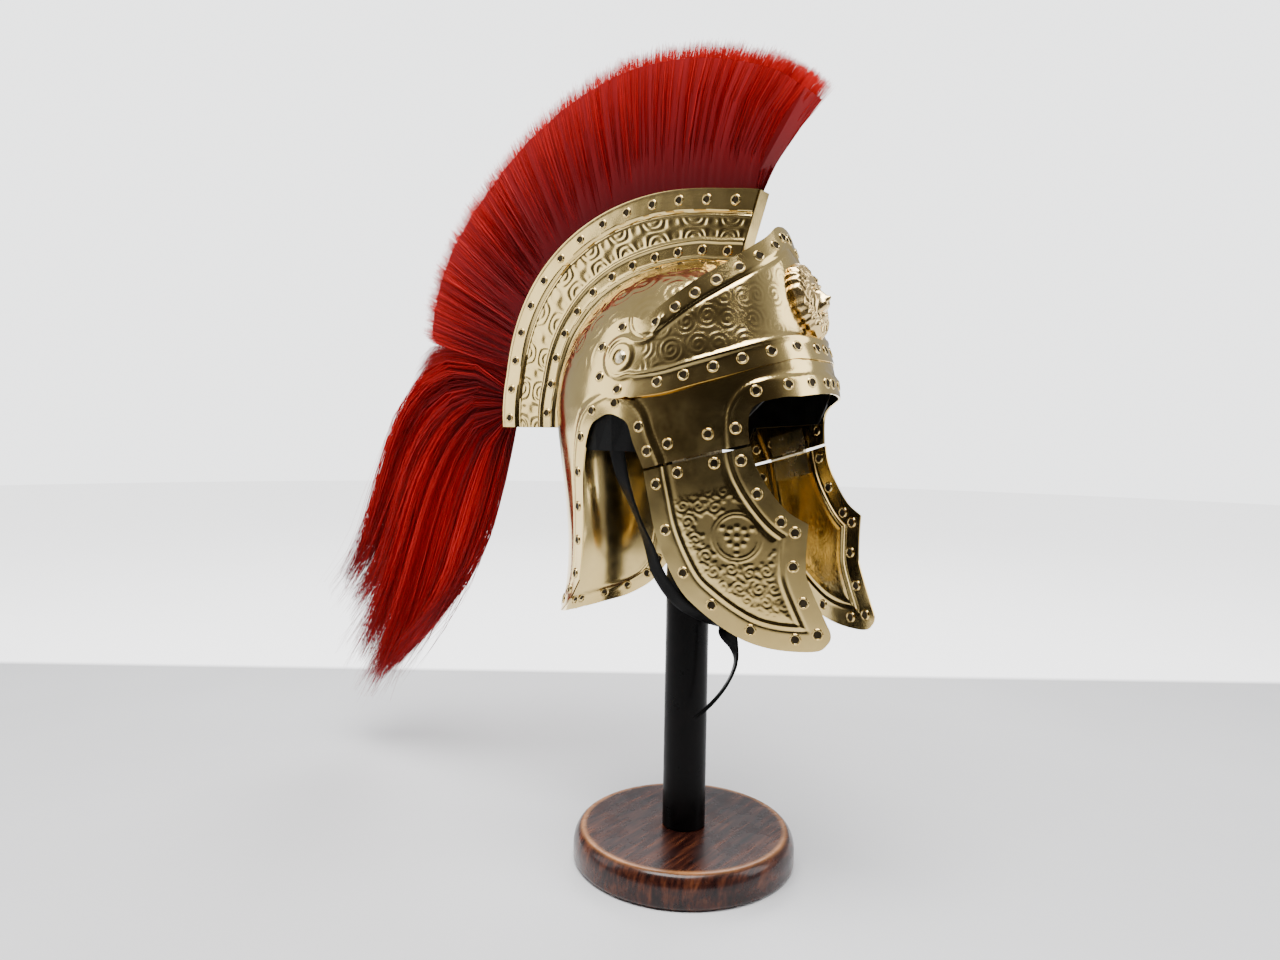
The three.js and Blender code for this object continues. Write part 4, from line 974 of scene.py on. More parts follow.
def make_brow():
    parts = brow_lines()
    flats = {s: [brow_flat(line, s) for line in parts] for s in (-1, 1)}
    right, left = np.vstack(flats[-1]), np.vstack(flats[1])[::-1]
    outline = without_doubles(np.vstack([right, left]))
    notch = [flats[s][0][-1] for s in (-1, 1)]
    place, quads, rim = trimmed_grid(outline, BROW_GRID, [right[0], *notch])
    upper_line, boss_line, lower_line = (
        both_sides(brow_surface, [flats[s][part] for s in (-1, 1)]) for part in range(3))
    hub_flat = np.array([brow_flat(np.array([[BOSS_FORWARD, BOSS_HEIGHT]]), s)[0] for s in (-1, 1)])
    hub = brow_surface(*hub_flat.T)

    def relief(u, v, p, with_art):
        to_up = distance_to(p, upper_line)
        to_low = np.minimum(distance_to(p, lower_line), distance_to(p, boss_line))
        middle = np.minimum(*[np.linalg.norm(p - c, axis=1) for c in hub])
        clear = smooth((middle - 20) / 4)
        form = 1.5 * (1 - smooth((to_up - BROW_BAND + 1) / 2.6)) * clear
        form -= 0.5 * bump(to_up, BROW_BAND + 2.4, 1.4) * clear
        form += 1.5 * bump(to_low, BROW_BAND + 1.5, 2.0) * smooth((to_up - 6) / 5)
        form += 0.7 * smooth((to_low - BROW_BAND - 1) / 2) * smooth((to_up - BROW_BAND) / 3)
        form += 0.8 * smooth((13.5 - middle) / 2.5) - 0.9 * smooth((6.8 - middle) / 1.2)
        if not with_art:
            return form, 0 * form
        panel = smooth((np.minimum(to_low, to_up) - BROW_BAND - 3) / 3) * smooth((middle - 21) / 4)
        strength = 0.06 + 0.15 * smooth((np.abs(u) / BROW_LAY - 0.55) / 0.5)
        return form, strength * panel * swirl_field(u, v, seed=11, cell=20, pitch=4.2)

    piece = sheet_piece("brow_shell", place, quads, rim, brow_surface, relief)
    finish_piece(piece, "helmet", "brass_sheet", BRASS, "brow_plate")
    sets = []
    for side in (-1, 1):
        for part, *run in BROW_RIVETS:
            spots = rivet_spots(brow_surface, flats[side][part], outline, *run)
            sets.append((brow_surface, relief, spots))
    return sets


# Crest box

def crest_point(degrees, scale=1.0):
    a = np.radians(degrees)
    share = np.clip((degrees - CREST_SWELL_START) / (CREST_SWELL_END - CREST_SWELL_START), 0, 1)
    reach = scale * (1 + CREST_SWELL * np.sin(np.pi * share) ** 1.3)
    return np.stack([CREST_FORWARD + CREST_LENGTH * reach * np.cos(a),
                     CREST_LEVEL + CREST_HEIGHT * reach * np.sin(a)], -1)


def crest_half_width(degrees):
    share = (degrees - CREST_FRONT_ANGLE) / (CREST_REAR_ANGLE - CREST_FRONT_ANGLE)
    return CREST_FRONT_HALF_WIDTH + (CREST_REAR_HALF_WIDTH - CREST_FRONT_HALF_WIDTH) * share


def crest_edges(degrees):
    """Outer edge and seat of the crest plates, in side view."""
    outer = crest_point(degrees)
    inner = crest_point(degrees, CREST_INNER_SCALE)
    inner[:, 1] -= (inner[-1, 1] - CREST_BOTTOM) * smooth((degrees - 165) / (CREST_REAR_ANGLE - 165))
    half = crest_half_width(degrees)
    low = np.zeros(len(degrees))
    high = np.ones(len(degrees))
    for _ in range(24):
        mid = (low + high) / 2
        f, z = (outer + (inner - outer) * mid[:, None]).T
        scale = np.where(z > RIM_HEIGHT, dome_scale(z), neck_scale(np.full(len(f), math.pi), z))
        clear = ring_width(f, scale, 0.35) < half
        low = np.where(clear, mid, low)
        high = np.where(clear, high, mid)
    return outer, outer + (inner - outer) * low[:, None]


# Depth of the rows of rivets below the crest's outer edge; the inner one's by share of the run
# front to back
OUTER_ROW = 9.4
INNER_ROW = np.array([(0, 51), (0.13, 51.6), (0.25, 56), (0.33, 58.5), (0.5, 61.5), (0.65, 62.6),
                      (0.82, 60.5), (1, 58)])
INNER_ROW_INSET = 8.5
WAVE_LENGTH = 44.0
WAVE_LINES = 1.7


def crest_waves(run, across):
    """Contour lines round eddies that hang from either side of a stream; across runs from 0 to 1."""
    phase = 2 * np.pi * run / WAVE_LENGTH + 0.5 * np.sin(run / 29.0)
    level = across + 0.72 * np.cos(phase) * np.cos(np.pi * across)
    level = level + 0.03 * np.sin(run / 6.5 + 5 * across)
    return np.cos(2 * np.pi * WAVE_LINES * level)


def make_crest_plate(name, side):
    columns, rows = 380, 64
    degrees = np.linspace(CREST_FRONT_ANGLE, CREST_REAR_ANGLE, columns + 1)
    outer, seat = crest_edges(degrees)
    outer[-1, 1] = seat[-1, 1] = CREST_BOTTOM
    half = crest_half_width(degrees)
    run = run_along(outer)
    width = np.linalg.norm(seat - outer, axis=1)

    def form_at(at, depth):
        back = np.interp(at / run[-1], *INNER_ROW.T) + INNER_ROW_INSET - depth
        form = 1.2 * (1 - smooth((depth - OUTER_BAND + 0.6) / 1.2))
        form = form - 0.9 * bump(depth, OUTER_BAND + 1.4, 1.0)
        form = form + 0.5 * bump(depth, OUTER_BAND + 3.6, 0.9) + 0.3 * bump(depth, 0.9, 0.9)
        form = form + 1.5 * bump(back, INNER_BAND, 1.9) + 0.5 * smooth((INNER_BAND - back) / 1.5)
        return form + 1.1 * bump(back, 1.6, 1.5) - 0.5 * smooth((1 - back) / 2), back

    def surface(u, v):
        """Layout: run along the outer edge and depth below it."""
        o, s = columns_at(u, run, outer), columns_at(u, run, seat)
        p = o + unit(s - o) * v[..., None]
        return np.stack([side * np.interp(u, run, half), p[..., 0], p[..., 1]], -1)

    def relief(u, v, p, with_art):
        form = form_at(u, v)[0]
        return form, 0 * form

    share = np.linspace(0, 1, rows + 1)
    depth = width[:, None] * share[None, :]
    at = np.repeat(run[:, None], rows + 1, 1)
    form, back = form_at(at, depth)
    top = OUTER_BAND + 5.5
    across = (depth - top) / np.maximum(depth + back - INNER_BAND - 3 - top, 5)
    panel = smooth((depth - top) / 2) * smooth((back - INNER_BAND - 2.5) / 2)
    form = form + 0.19 * panel * crest_waves(at, across)
    solid = surface(at, depth)
    solid[..., 0] += side * form
    ends = np.stack([outer, seat], 1)
    inner = np.concatenate([np.repeat(side * (half[:, None, None] - SHEET), 2, 1), ends], 2)
    verts = np.concatenate([solid.reshape(-1, 3), inner.reshape(-1, 3)])
    wide = rows + 1
    count = (columns + 1) * wide
    c, r = np.meshgrid(np.arange(columns), np.arange(rows), indexing="ij")
    a = (c * wide + r).ravel()
    quads = np.stack([a, a + wide, a + wide + 1, a + 1], 1)
    k = np.arange(columns)
    low = count + 2 * k
    back_faces = np.stack([low, low + 1, low + 3, low + 2], 1)
    outer_edge = np.stack([k * wide, low, low + 2, (k + 1) * wide], 1)
    seat_edge = np.stack([(k + 1) * wide + rows, low + 3, low + 1, k * wide + rows], 1)
    front_end = np.concatenate([np.arange(wide), [count + 1, count]])
    rear_end = np.concatenate([(columns * wide + np.arange(wide))[::-1],
                               count + 2 * columns + np.arange(2)])
    faces = [np.concatenate([quads, back_faces, outer_edge, seat_edge]),
             np.stack([front_end, rear_end])]
    if side < 0:
        faces = [f[:, ::-1] for f in faces]
    piece = make_mesh(f"crest_shell_{name}", to_scene(verts), faces)
    finish_piece(piece, "helmet", "brass_sheet", BRASS, f"crest_plate_{name}")
    outer_row = np.linspace(19.5, run[-1] - 9.5, 14)
    inner_row = np.linspace(17, run[-1] - 18, 12)
    spots = ((outer_row, np.full(len(outer_row), OUTER_ROW)),
             (inner_row, np.interp(inner_row / run[-1], *INNER_ROW.T)))
    return [(surface, relief, np.stack(row, 1)) for row in spots]


# Hair

def strand_piece(name, path, across, half, tone, *nodes):
    """Ribbons along paths of shape (strands, points, 3) in millimetres, with the direction across,
    the half width and the tone at each point."""
    strands, points = path.shape[:2]
    sideways = across * half[..., None]
    verts = np.stack([path - sideways, path + sideways], 2)
    base = (np.arange(strands) * points * 2)[:, None]
    k = np.arange(points - 1) * 2
    faces = np.stack([base + k, base + k + 1, base + k + 3, base + k + 2], -1).reshape(-1, 4)
    piece = make_mesh(name, to_scene(verts.reshape(-1, 3)), faces, sharp=0)
    paint(piece, "tone", np.repeat(tone, 2, 1))
    finish_piece(piece, "helmet", "red_hair", HAIR, *nodes)


hair_tips = resample(spline([(x * CREST_LENGTH, CREST_LEVEL + CREST_HEIGHT + z * HAIR_REACH)
                             for x, z in HAIR_TIPS], 12), 1.0)


def hair_angle(share):
    return CREST_FRONT_ANGLE + 1 + (HAIR_REAR_ANGLE - CREST_FRONT_ANGLE - 1) * share


def hair_spread(share):
    return HAIR_HALF_WIDTH * (0.86 + 0.14 * share)


def root_half_width(share):
    return crest_half_width(hair_angle(share)) - SHEET - 0.6


def hair_at(share, along):
    """Side-view point of the crest hair: share runs front to back, along runs root to tip."""
    root = crest_point(hair_angle(share))
    tip = columns_at(share * (len(hair_tips) - 1), np.arange(len(hair_tips)), hair_tips)
    point = root + (tip - root) * along[..., None]
    point[..., 0] -= HAIR_BOW * smooth(1 - share / HAIR_BOW_END) * np.sin(np.pi * np.clip(along, 0, 1))
    return point


def make_hair_core():
    """The mass between the strands, coloured dark: painted shade inside the hair."""
    columns, rows = 150, 10
    along = np.linspace(-0.02, 0.9, rows + 1)
    rng = np.random.default_rng(3)
    rings = []
    for s in np.linspace(0, 1, columns + 1):
        wide = np.interp(along, *HAIR_SECTION.T) * hair_spread(s) * 0.9
        wide *= 1 + rng.uniform(-0.06, 0.06)
        wide[0] = root_half_width(s)
        right = np.column_stack([-wide, hair_at(np.full(len(along), s), along)])
        rings.append(np.vstack([right, right[::-1] * [-1, 1, 1]]))
    per = len(rings[0])
    caps = [np.arange(per)[None, ::-1], columns * per + np.arange(per)[None]]
    piece = make_mesh("crest_hair_core", to_scene(np.vstack(rings)),
                      [ring_quads(columns + 1, per), *caps], sharp=60)
    # Dark, lighter toward the tips: painted shade inside the hair
    paint(piece, "tone", np.tile(np.concatenate([along, along[::-1]]) * 0.45, columns + 1))
    finish_piece(piece, "helmet", "red_hair", HAIR, "crest_hair")


def make_crest_hair():
    strands, segments = 12500, 3
    t = np.linspace(0, 1, segments + 1)
    for part, (low, high) in enumerate(((0.0, 0.36), (0.36, 0.7), (0.7, 1.0))):
        rng = np.random.default_rng(20 + part)
        s = rng.uniform(low, high, strands)
        clump = np.sin(s * 260) * 0.5 + np.sin(s * 97 + 1) * 0.5
        lean = rng.uniform(-1, 1, strands)
        lean = np.sign(lean) * np.abs(lean) ** 0.75
        start = hair_at(s, np.zeros(strands))
        length = 1 + rng.normal(0, 0.018, strands) + 0.012 * clump
        length -= 0.12 * rng.random(strands) ** 6 * smooth(s / 0.12)
        tip_share = np.clip(s + rng.normal(0, 0.006, strands) + 0.004 * clump, 0, 1)
        end = start + (hair_at(tip_share, np.ones(strands)) - start) * length[:, None]
        wide = lean * hair_spread(s) * (0.95 + 0.06 * clump) + rng.normal(0, 1.0, strands)
        roots = np.column_stack([lean * root_half_width(s), start])
        run = np.column_stack([wide, end]) - roots
        bow = HAIR_BOW * smooth(1 - s / HAIR_BOW_END)
        bends = np.stack([lean * hair_spread(s) * 0.28, rng.normal(0, 1.2, strands) - 2 * bow,
                          rng.normal(0, 1.2, strands)], 1)
        shade = rng.uniform(-0.16, 0.16, strands) + 0.09 * clump
        width = rng.uniform(0.44, 0.88, strands)
        path = (roots[:, None] + run[:, None] * t[:, None]
                + bends[:, None] * (2 * t * (1 - t))[:, None])
        spin = np.random.default_rng(40 + part).normal(size=(strands, 3))
        across = unit(np.cross(unit(run), spin))[:, None]
        half = 0.5 * width[:, None] * (1 - 0.85 * t ** 3)
        # Dark at the roots and bright at the tips: painted shade at the roots and painted light at the
        # tips, over each strand's own random tone
        tone = 0.16 + shade[:, None] + 0.72 * t ** 1.8
        strand_piece(f"crest_strands_{part}", path, across, half, tone)


def cut_back(path, reach):
    """Paths cut to a share of their length, with as many points as before."""
    strands, points = path.shape[:2]
    at = np.linspace(0, 1, points) * reach[:, None] * (points - 1)
    k = np.clip(np.floor(at).astype(int), 0, points - 2)
    mix = (at - k)[..., None]
    rows = np.arange(strands)[:, None]
    return path[rows, k] * (1 - mix) + path[rows, k + 1] * mix


def ribbon_frame(path, rng, thin, thick):
    """Random directions across the strands, and half widths that taper to the tips."""
    across = unit(np.cross(np.gradient(path, axis=1), rng.normal(size=(len(path), 1, 3))))
    t = np.linspace(0, 1, path.shape[1])
    return across, rng.uniform(thin, thick, len(path))[:, None] * (1 - 0.8 * t ** 3)


# Middle lines of the tail's locks: sway to the side, and points back and down from the root
TAIL_LOCKS = [
    (-0.3, [(0, 0), (0.21, -0.1), (0.44, 0), (0.6, 0.28), (0.715, 0.53), (0.86, 0.71)]),
    (0.4, [(0, 0.02), (0.2, 0), (0.39, 0.13), (0.53, 0.39), (0.66, 0.61), (0.81, 0.76)]),
    (-0.5, [(0, 0.04), (0.18, 0.05), (0.34, 0.22), (0.46, 0.48), (0.58, 0.73), (0.72, 0.93)]),
    (0.2, [(0, 0.06), (0.14, 0.09), (0.28, 0.28), (0.39, 0.53), (0.53, 0.8), (0.725, 1.07)]),
    (0.5, [(0, 0.08), (0.1, 0.14), (0.21, 0.33), (0.31, 0.57), (0.44, 0.8), (0.63, 0.98)]),
    (-0.2, [(0, 0.1), (0.03, 0.16), (0.085, 0.33), (0.165, 0.52), (0.285, 0.69), (0.46, 0.84)]),
]


def make_tail():
    strands, tufts, segments = 5200, 150, 9
    root = crest_point(TAIL_ROOT_ANGLE + 0.25 * (CREST_REAR_ANGLE - TAIL_ROOT_ANGLE))
    lines = []
    for sway, path in TAIL_LOCKS:
        sway_at = sway * TAIL_HALF_THICKNESS * smooth(np.linspace(0, 1, len(path)))
        points = np.column_stack([sway_at, root - np.array(path) * TAIL_LENGTH])
        lines.append(smooth_line(points, segments + 1))
    lines = np.array(lines)
    last = len(lines) - 1
    t = np.linspace(0, 1, segments + 1)
    girth = np.interp(t, [0, 0.12, 0.45, 0.75, 1], [0.42, 0.85, 1, 0.7, 0.25])[:, None]
    rng = np.random.default_rng(9)
    for part, nodes in enumerate((["crest_tail"], [])):
        tuft = rng.integers(0, tufts, strands)
        pick = rng.uniform(0, last, tufts)
        near = np.clip(np.round(pick), 0, last)
        mixed = (near + (pick - near) * rng.uniform(0.4, 1.0, tufts))[tuft]
        mixed = np.clip(mixed + rng.normal(0, 0.12, strands), 0, last)
        low = np.clip(np.floor(mixed).astype(int), 0, last - 1)
        blend = (mixed - low)[:, None, None]
        path = lines[low] * (1 - blend) + lines[low + 1] * blend
        ring = rng.uniform(0, 2 * np.pi, tufts)[tuft] + rng.normal(0, 0.35, strands)
        far = np.sqrt(rng.random(tufts))[tuft] * rng.uniform(0.8, 1.15, strands)
        thick = TAIL_HALF_THICKNESS * far * np.sin(ring)
        flat = 0.7 * (18.0 - 5.0 * mixed / last) * far * np.cos(ring)
        path += np.stack([thick, flat, flat], 1)[:, None] * girth
        path += (rng.normal(0, 1, (tufts, 3))[tuft] * 5.5)[:, None] * (t ** 2)[:, None]
        wave = rng.normal(0, 1.0, (strands, 3))[:, None]
        phase = rng.uniform(0, 6.28, strands)[:, None]
        path += wave * (np.sin(t * 7 + phase) * 1.5 * t)[..., None]
        wisp = rng.random(strands) < 0.06
        path += wisp[:, None, None] * rng.normal(0, 9, (strands, 1, 3)) * (t ** 1.5)[:, None]
        reach = (1 - 0.24 * rng.random(tufts) ** 1.6)[tuft] * (1 - 0.14 * rng.random(strands) ** 2)
        path = cut_back(path, np.clip(np.where(wisp, 1.0, reach), 0.5, 1.0))
        across, half = ribbon_frame(path, rng, 0.22, 0.48)
        shade = rng.uniform(-0.12, 0.12, strands) + rng.uniform(-0.16, 0.16, tufts)[tuft]
        # Tone: each tuft's and strand's own tone, varied from lock to lock and brighter toward the
        # middle of the length; lighter on the outer strands, painted light; darker near the root under
        # the crest, painted shadow
        tone = 0.3 + shade[:, None] + 0.2 * np.sin(t * 3.0) + 0.34 * (far[:, None] - 0.6)
        tone = tone + 0.12 * np.sin(7.0 * mixed + 0.6)[:, None] - 0.3 * bump(t, 0, 0.16)
        strand_piece(f"tail_strands_{part}", path, across, half, tone, *nodes)


BRIDGE_UPPER = [(-211, 441), (-250, 458), (-290, 468), (-322, 470), (-345, 458)]
BRIDGE_LOWER = [(-215, 424), (-255, 440), (-300, 449), (-345, 432), (-375, 398)]


def make_bridge():
    """Loose strands between the rear end of the crest hair and the tail."""
    strands, segments = 2000, 6
    rng = np.random.default_rng(31)
    upper, lower = (smooth_line(line, segments + 1) for line in (BRIDGE_UPPER, BRIDGE_LOWER))
    mixed = rng.random(strands)[:, None, None]
    t = np.linspace(0, 1, segments + 1)
    side = rng.uniform(-1, 1, strands)[:, None] * (7 + 10 * smooth(t / 0.5) - 6 * t ** 2)
    path = np.concatenate([side[..., None], upper * (1 - mixed) + lower * mixed], -1)
    path += rng.normal(0, 1.6, (strands, 1, 3)) * np.sqrt(t)[:, None]
    path = cut_back(path, 0.55 + 0.45 * rng.random(strands) ** 0.6)
    across, half = ribbon_frame(path, rng, 0.2, 0.4)
    # Darker at the roots, brighter toward the tips: painted shade at the roots, over each strand's own
    # random tone
    tone = 0.2 + rng.uniform(-0.14, 0.14, strands)[:, None] + 0.45 * t
    strand_piece("bridge_strands", path, across, half, tone)


# Medallion: a generic lion's head

# Brows, eye sockets, eyes, lips, cheeks and ears: height, distance aside, width, level, height across
LION_PAIRS = [
    (0.15, 0.23, 0.14, 0.24, 0.07), (-0.15, 0.23, 0.09, 0.11, 0.06), (0.08, 0.23, 0.05, 0.11, 0.035),
    (0.12, 0.16, 0.12, -0.3, 0.1), (0.10, 0.42, 0.1, -0.05, 0.16), (0.14, 0.45, 0.09, 0.5, 0.09),
]


def lion_height(a, b):
    """Height, as a share of the medallion's depth, over a and b that run from -1 to 1."""
    r = np.hypot(a, b)
    angle = np.arctan2(b, a)
    h = 0.30 + 0.34 * np.sqrt(np.clip(1 - (r / 1.02) ** 2, 0, 1))
    locks = np.cos(angle * 21 + 4 * np.sin(r * 9) + 2 * np.sin(angle * 5)) * bump(r, 0.84, 0.15)
    inner_locks = np.cos(angle * 17 + 1.4 - 5 * np.sin(r * 9)) * bump(r, 0.62, 0.11)
    h += 0.05 * locks + 0.03 * inner_locks
    face = bump(np.hypot(a / 0.52, (b + 0.02) / 0.62), 0, 0.95)
    h += 0.16 * face
    muzzle = bump(a, 0, 0.24) * bump(b, -0.27, 0.2)
    h += 0.28 * muzzle
    nose = bump(a, 0, 0.11) * smooth((b + 0.28) / 0.1) * smooth((0.26 - b) / 0.3)
    h += 0.17 * nose
    h += 0.1 * bump(a, 0, 0.14) * bump(b, -0.15, 0.06)
    for sign in (-1, 1):
        for height, at, wide, level, tall in LION_PAIRS:
            h += height * bump(a, sign * at, wide) * bump(b, level, tall)
    h -= 0.2 * bump(a, 0, 0.26) * bump(b, -0.45, 0.035)
    h += 0.16 * bump(a, 0, 0.17) * bump(b, -0.56, 0.08)
    return h


def make_medallion():
    height = RIM_HEIGHT + MEDALLION_RISE * BROW_PEAK_RISE
    forward = (SKULL_FRONT + BROW_OUTER) * float(brow_scale(np.array(height)))
    tilt = math.atan(BROW_LEAN * (SKULL_FRONT + BROW_OUTER))
    columns, rows = 168, 44
    angle = np.linspace(0, 2 * math.pi, columns, endpoint=False)
    edge = 1 + 0.035 * np.cos(angle * 21 + 2 * np.sin(angle * 5)) + 0.02 * np.cos(angle * 5 + 1)
    share = (np.arange(rows) + 1) / rows
    a = np.cos(angle)[None, :] * share[:, None] * edge[None, :]
    b = np.sin(angle)[None, :] * share[:, None] * edge[None, :]
    h = lion_height(a, b) * MEDALLION_DEPTH
    h *= 0.35 + 0.65 * smooth((1.02 - share) / 0.1)[:, None]

    def solid(a, b, h):
        x = MEDALLION_HALF_WIDTH * a
        z = MEDALLION_HALF_HEIGHT * b
        up = z * math.cos(tilt) + h * math.sin(tilt)
        ahead = h * math.cos(tilt) - z * math.sin(tilt)
        return np.stack([x, forward + ahead + 0 * x, height + up], -1)

    zero = np.zeros(1)
    middle = solid(zero, zero, lion_height(zero, zero) * MEDALLION_DEPTH)
    seat = solid(a[-1] * 0.99, b[-1] * 0.99, np.zeros(columns))
    seat[:, 1] = brow_forward(seat[:, 0], seat[:, 2]) + 0.3
    hub = seat.mean(0, keepdims=True)
    hub[0, 1] = forward + 0.4
    verts = np.vstack([middle, solid(a, b, h).reshape(-1, 3), seat, hub])
    k = np.arange(columns)
    low = 1 + rows * columns
    faces = [fan(0, 1 + k), fan(low + columns, low + k)[:, ::-1],
             ring_quads(rows + 1, columns, 1)[:, [0, 3, 2, 1]]]
    piece = make_mesh("lion_medallion", to_scene(verts), faces, sharp=0)
    finish_piece(piece, "helmet", "gilt_cast", GILT, "brow_medallion")


def brow_forward(x, z):
    """Forward position of the brow plate's face at a side distance and height near the front."""
    scale = brow_scale(z)
    angle = np.abs(x) / ((HALF_WIDTH + BROW_OUTER) * scale)
    for _ in range(8):
        full = 1 + FRONT_FULLNESS * np.cos(angle) ** 2
        angle = np.arcsin(np.clip(np.abs(x) / ((HALF_WIDTH + BROW_OUTER) * scale * full), 0, 1))
    return (SKULL_FRONT + BROW_OUTER) * scale * np.cos(angle)


# Stand

def lathe_piece(name, profile, sides, slot, material, replaced):
    prof = np.asarray(profile, float)
    a = np.linspace(0, 2 * math.pi, sides, endpoint=False)
    rings = np.stack([prof[:, 0, None] * np.cos(a), prof[:, 0, None] * np.sin(a),
                      np.repeat(prof[:, 1, None], sides, 1)], -1).reshape(-1, 3)
    hubs = np.array([[0, 0, prof[0, 1]], [0, 0, prof[-1, 1]]])
    count = len(rings)
    k = np.arange(sides)
    caps = np.concatenate([fan(count, k)[:, ::-1], fan(count + 1, count - sides + k)])
    piece = make_mesh(name, np.vstack([rings, hubs]) * MM, [ring_quads(len(prof), sides), caps],
                      sharp=35)
    return finish_piece(piece, "helmet", slot, material, replaced)


def make_stand():
    radius, top_radius, height, foot, shoulder = 98.3, 89.8, 28.7, 5.0, 16.0
    slope = radius - top_radius
    points = [(radius - foot, 0)]
    for t in np.linspace(0, math.pi / 2, 7)[1:]:
        points.append((radius - foot + foot * math.sin(t), foot * (1 - math.cos(t))))
    for t in np.linspace(0, math.pi / 2, 12)[1:]:
        points.append((radius - slope * (1 - math.cos(t)), height - shoulder + shoulder * math.sin(t)))
    points += [(top_radius - inset, height) for inset in (1.2, 3.5, 6, 9, 30)]
    base = lathe_piece("base_turned", points, 160, "walnut", WALNUT, "stand_base")
    co = np.empty(len(base.data.vertices) * 3, np.float32)
    base.data.vertices.foreach_get("co", co)
    co = co.reshape(-1, 3) / MM
    around = np.hypot(co[:, 0], co[:, 1])
    # A thin line round the top edge: worn finish and painted highlight
    paint(base, "wear", bump(around, top_radius, 2.2) * bump(co[:, 2], height, 2.5) * 1.3)
    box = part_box("stand_post")
    low, high = box[0][2] / MM, box[1][2] / MM
    lathe_piece("post_turned", [(18.2, low), (19, low + 0.8), (19, high - 0.8), (18.2, high)], 96,
                "black_paint", POST_BLACK, "stand_post")


# Strap

STRAP_WIDTH = 15.0
STRAP_THICKNESS = 1.8
STRAP_ROUTE = [
    (1, -0.194, -0.103, 0), (1, -0.194, 0, 0), (0.985, -0.194, 0.103, 0), (0.95, -0.171, 0.175, 0),
    (0.878, -0.155, 0.294, 10), (0.79, -0.124, 0.397, 32), (0.69, -0.085, 0.505, 40),
    (0.592, -0.054, 0.608, 22), (0.507, -0.031, 0.711, 6), (0.424, 0.023, 0.794, 0),
    (0.354, 0.093, 0.856, 0), (0.285, 0.178, 0.897, 0), (0.17, 0.279, 0.938, 0), (0, 0.341, 0.964, 0),
]
STRAP_END_ROUTE = [
    (-0.09, 0.353, 0.978, 0, 1), (-0.13, 0.41, 1.018, -20, 0.95), (-0.14, 0.44, 1.09, -50, 0.8),
    (-0.17, 0.41, 1.17, -58, 0.7), (-0.23, 0.35, 1.247, -58, 0.55), (-0.3, 0.28, 1.309, -50, 0.4),
    (-0.375, 0.222, 1.351, -40, 0.2),
]
STRAP_STACK = STRAP_THICKNESS + 0.3
STRAP_INSET = SHEET + 0.3 + 2.0 + 0.9 + STRAP_THICKNESS / 2


def strap_point(side, forward, drop):
    f = forward * SKULL_FRONT
    z = RIM_HEIGHT - drop * NECK_DROP
    rear = min(f, 0) - STRAP_WIDTH / 2
    return np.array([side * float(ring_width(rear, dome_scale(z), -STRAP_INSET)), f, z])


def band_piece(name, points, turns, widths, steps, replaced):
    line = spline(points, 20)
    share = np.linspace(0, 1, steps + 1)
    centre = columns_at(share * (len(line) - 1), np.arange(len(line)), line)
    row, marks = share * (len(points) - 1), np.arange(len(points))
    turn = np.radians(np.interp(row, marks, turns))
    wide = STRAP_WIDTH * np.interp(row, marks, widths)
    run = unit(np.gradient(centre, axis=0))
    across = np.stack([np.sin(turn), np.cos(turn), 0 * turn], 1)
    across = unit(across - run * (across * run).sum(1, keepdims=True))
    flat = np.cross(run, across)
    face = [(1, 0.55), (0.93, 1), (0.5, 1), (0, 1), (-0.5, 1), (-0.93, 1), (-1, 0.55)]
    outline = [(-a, -b) for a, b in face] + face
    verts = np.stack([centre + across * (a * wide / 2)[:, None] + flat * (b * STRAP_THICKNESS / 2)
                      for a, b in outline], 1)
    per = len(outline)
    caps = [np.arange(per)[None], (steps * per + np.arange(per))[None, ::-1]]
    piece = make_mesh(name, to_scene(verts.reshape(-1, 3)),
                      [ring_quads(steps + 1, per)[:, ::-1], *caps], sharp=60)
    finish_piece(piece, "helmet", "black_leather", LEATHER, replaced)


def make_strap():
    rows = [(-s, f, d, -t) for s, f, d, t in STRAP_ROUTE] + STRAP_ROUTE[-2::-1]
    points = [strap_point(s, f, d) for s, f, d, _ in rows]
    band_piece("strap_loop", points, [r[3] for r in rows], [1] * len(rows), 160, "chin_strap")
    chin = strap_point(*STRAP_ROUTE[-1][:3])
    start = chin + [STRAP_WIDTH / 3, 0, -STRAP_STACK]
    middle = chin + [-STRAP_WIDTH / 4, 0, -STRAP_STACK]
    points = [start, middle] + [strap_point(s, f, d) for s, f, d, _, _ in STRAP_END_ROUTE]
    turns = [0, 0] + [r[3] for r in STRAP_END_ROUTE]
    widths = [1, 1] + [r[4] for r in STRAP_END_ROUTE]
    band_piece("strap_tail", points, turns, widths, 60, "strap_end")


# CAD nodes that keep their shape

def dress_nodes():
    looks = {"liner": LEATHER, "stand_head": POST_BLACK, "crest_front_cap": BRASS,
             "strap_slide": METAL_BLACK}
    for side in ("right", "left"):
        for name in ("brow_screw", "hinge_leaf_upper", "hinge_leaf_lower"):
            looks[f"{name}_{side}"] = FITTING
    for name, material in looks.items():
        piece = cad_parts[name]
        piece.data.materials.clear()
        piece.data.materials.append(material)


# Stage, lights and camera

# Along the view, in metres: the floor glows like the wall from FLOOR_LINE on, and is painted dark
# between the two distances of FLOOR_DARK, behind the camera: painted shade for the dim side of the
# room, which the brass reflects
FLOOR_LINE = 0.59
FLOOR_GLOW = 2.1
FLOOR_DARK = (-0.8, -1.7)
# Direction from the bright side of the room to the dark one
ROOM_AXIS = (-0.906, -0.423, 0)
# Name, place, size and power of each lamp
LAMPS = [("key", (-0.5, -0.1, 2.0), (1.3, 1.1), 66), ("left", (-1.0, 1.4, 1.0), (0.9, 1.3), 9),
         ("right", (0.7, -1.6, 1.1), (0.9, 1.3), 14), ("back", (1.3, 0.9, 1.6), (1.2, 1.0), 20)]
LAMP_TARGET = Vector((0, 0, 0.42))


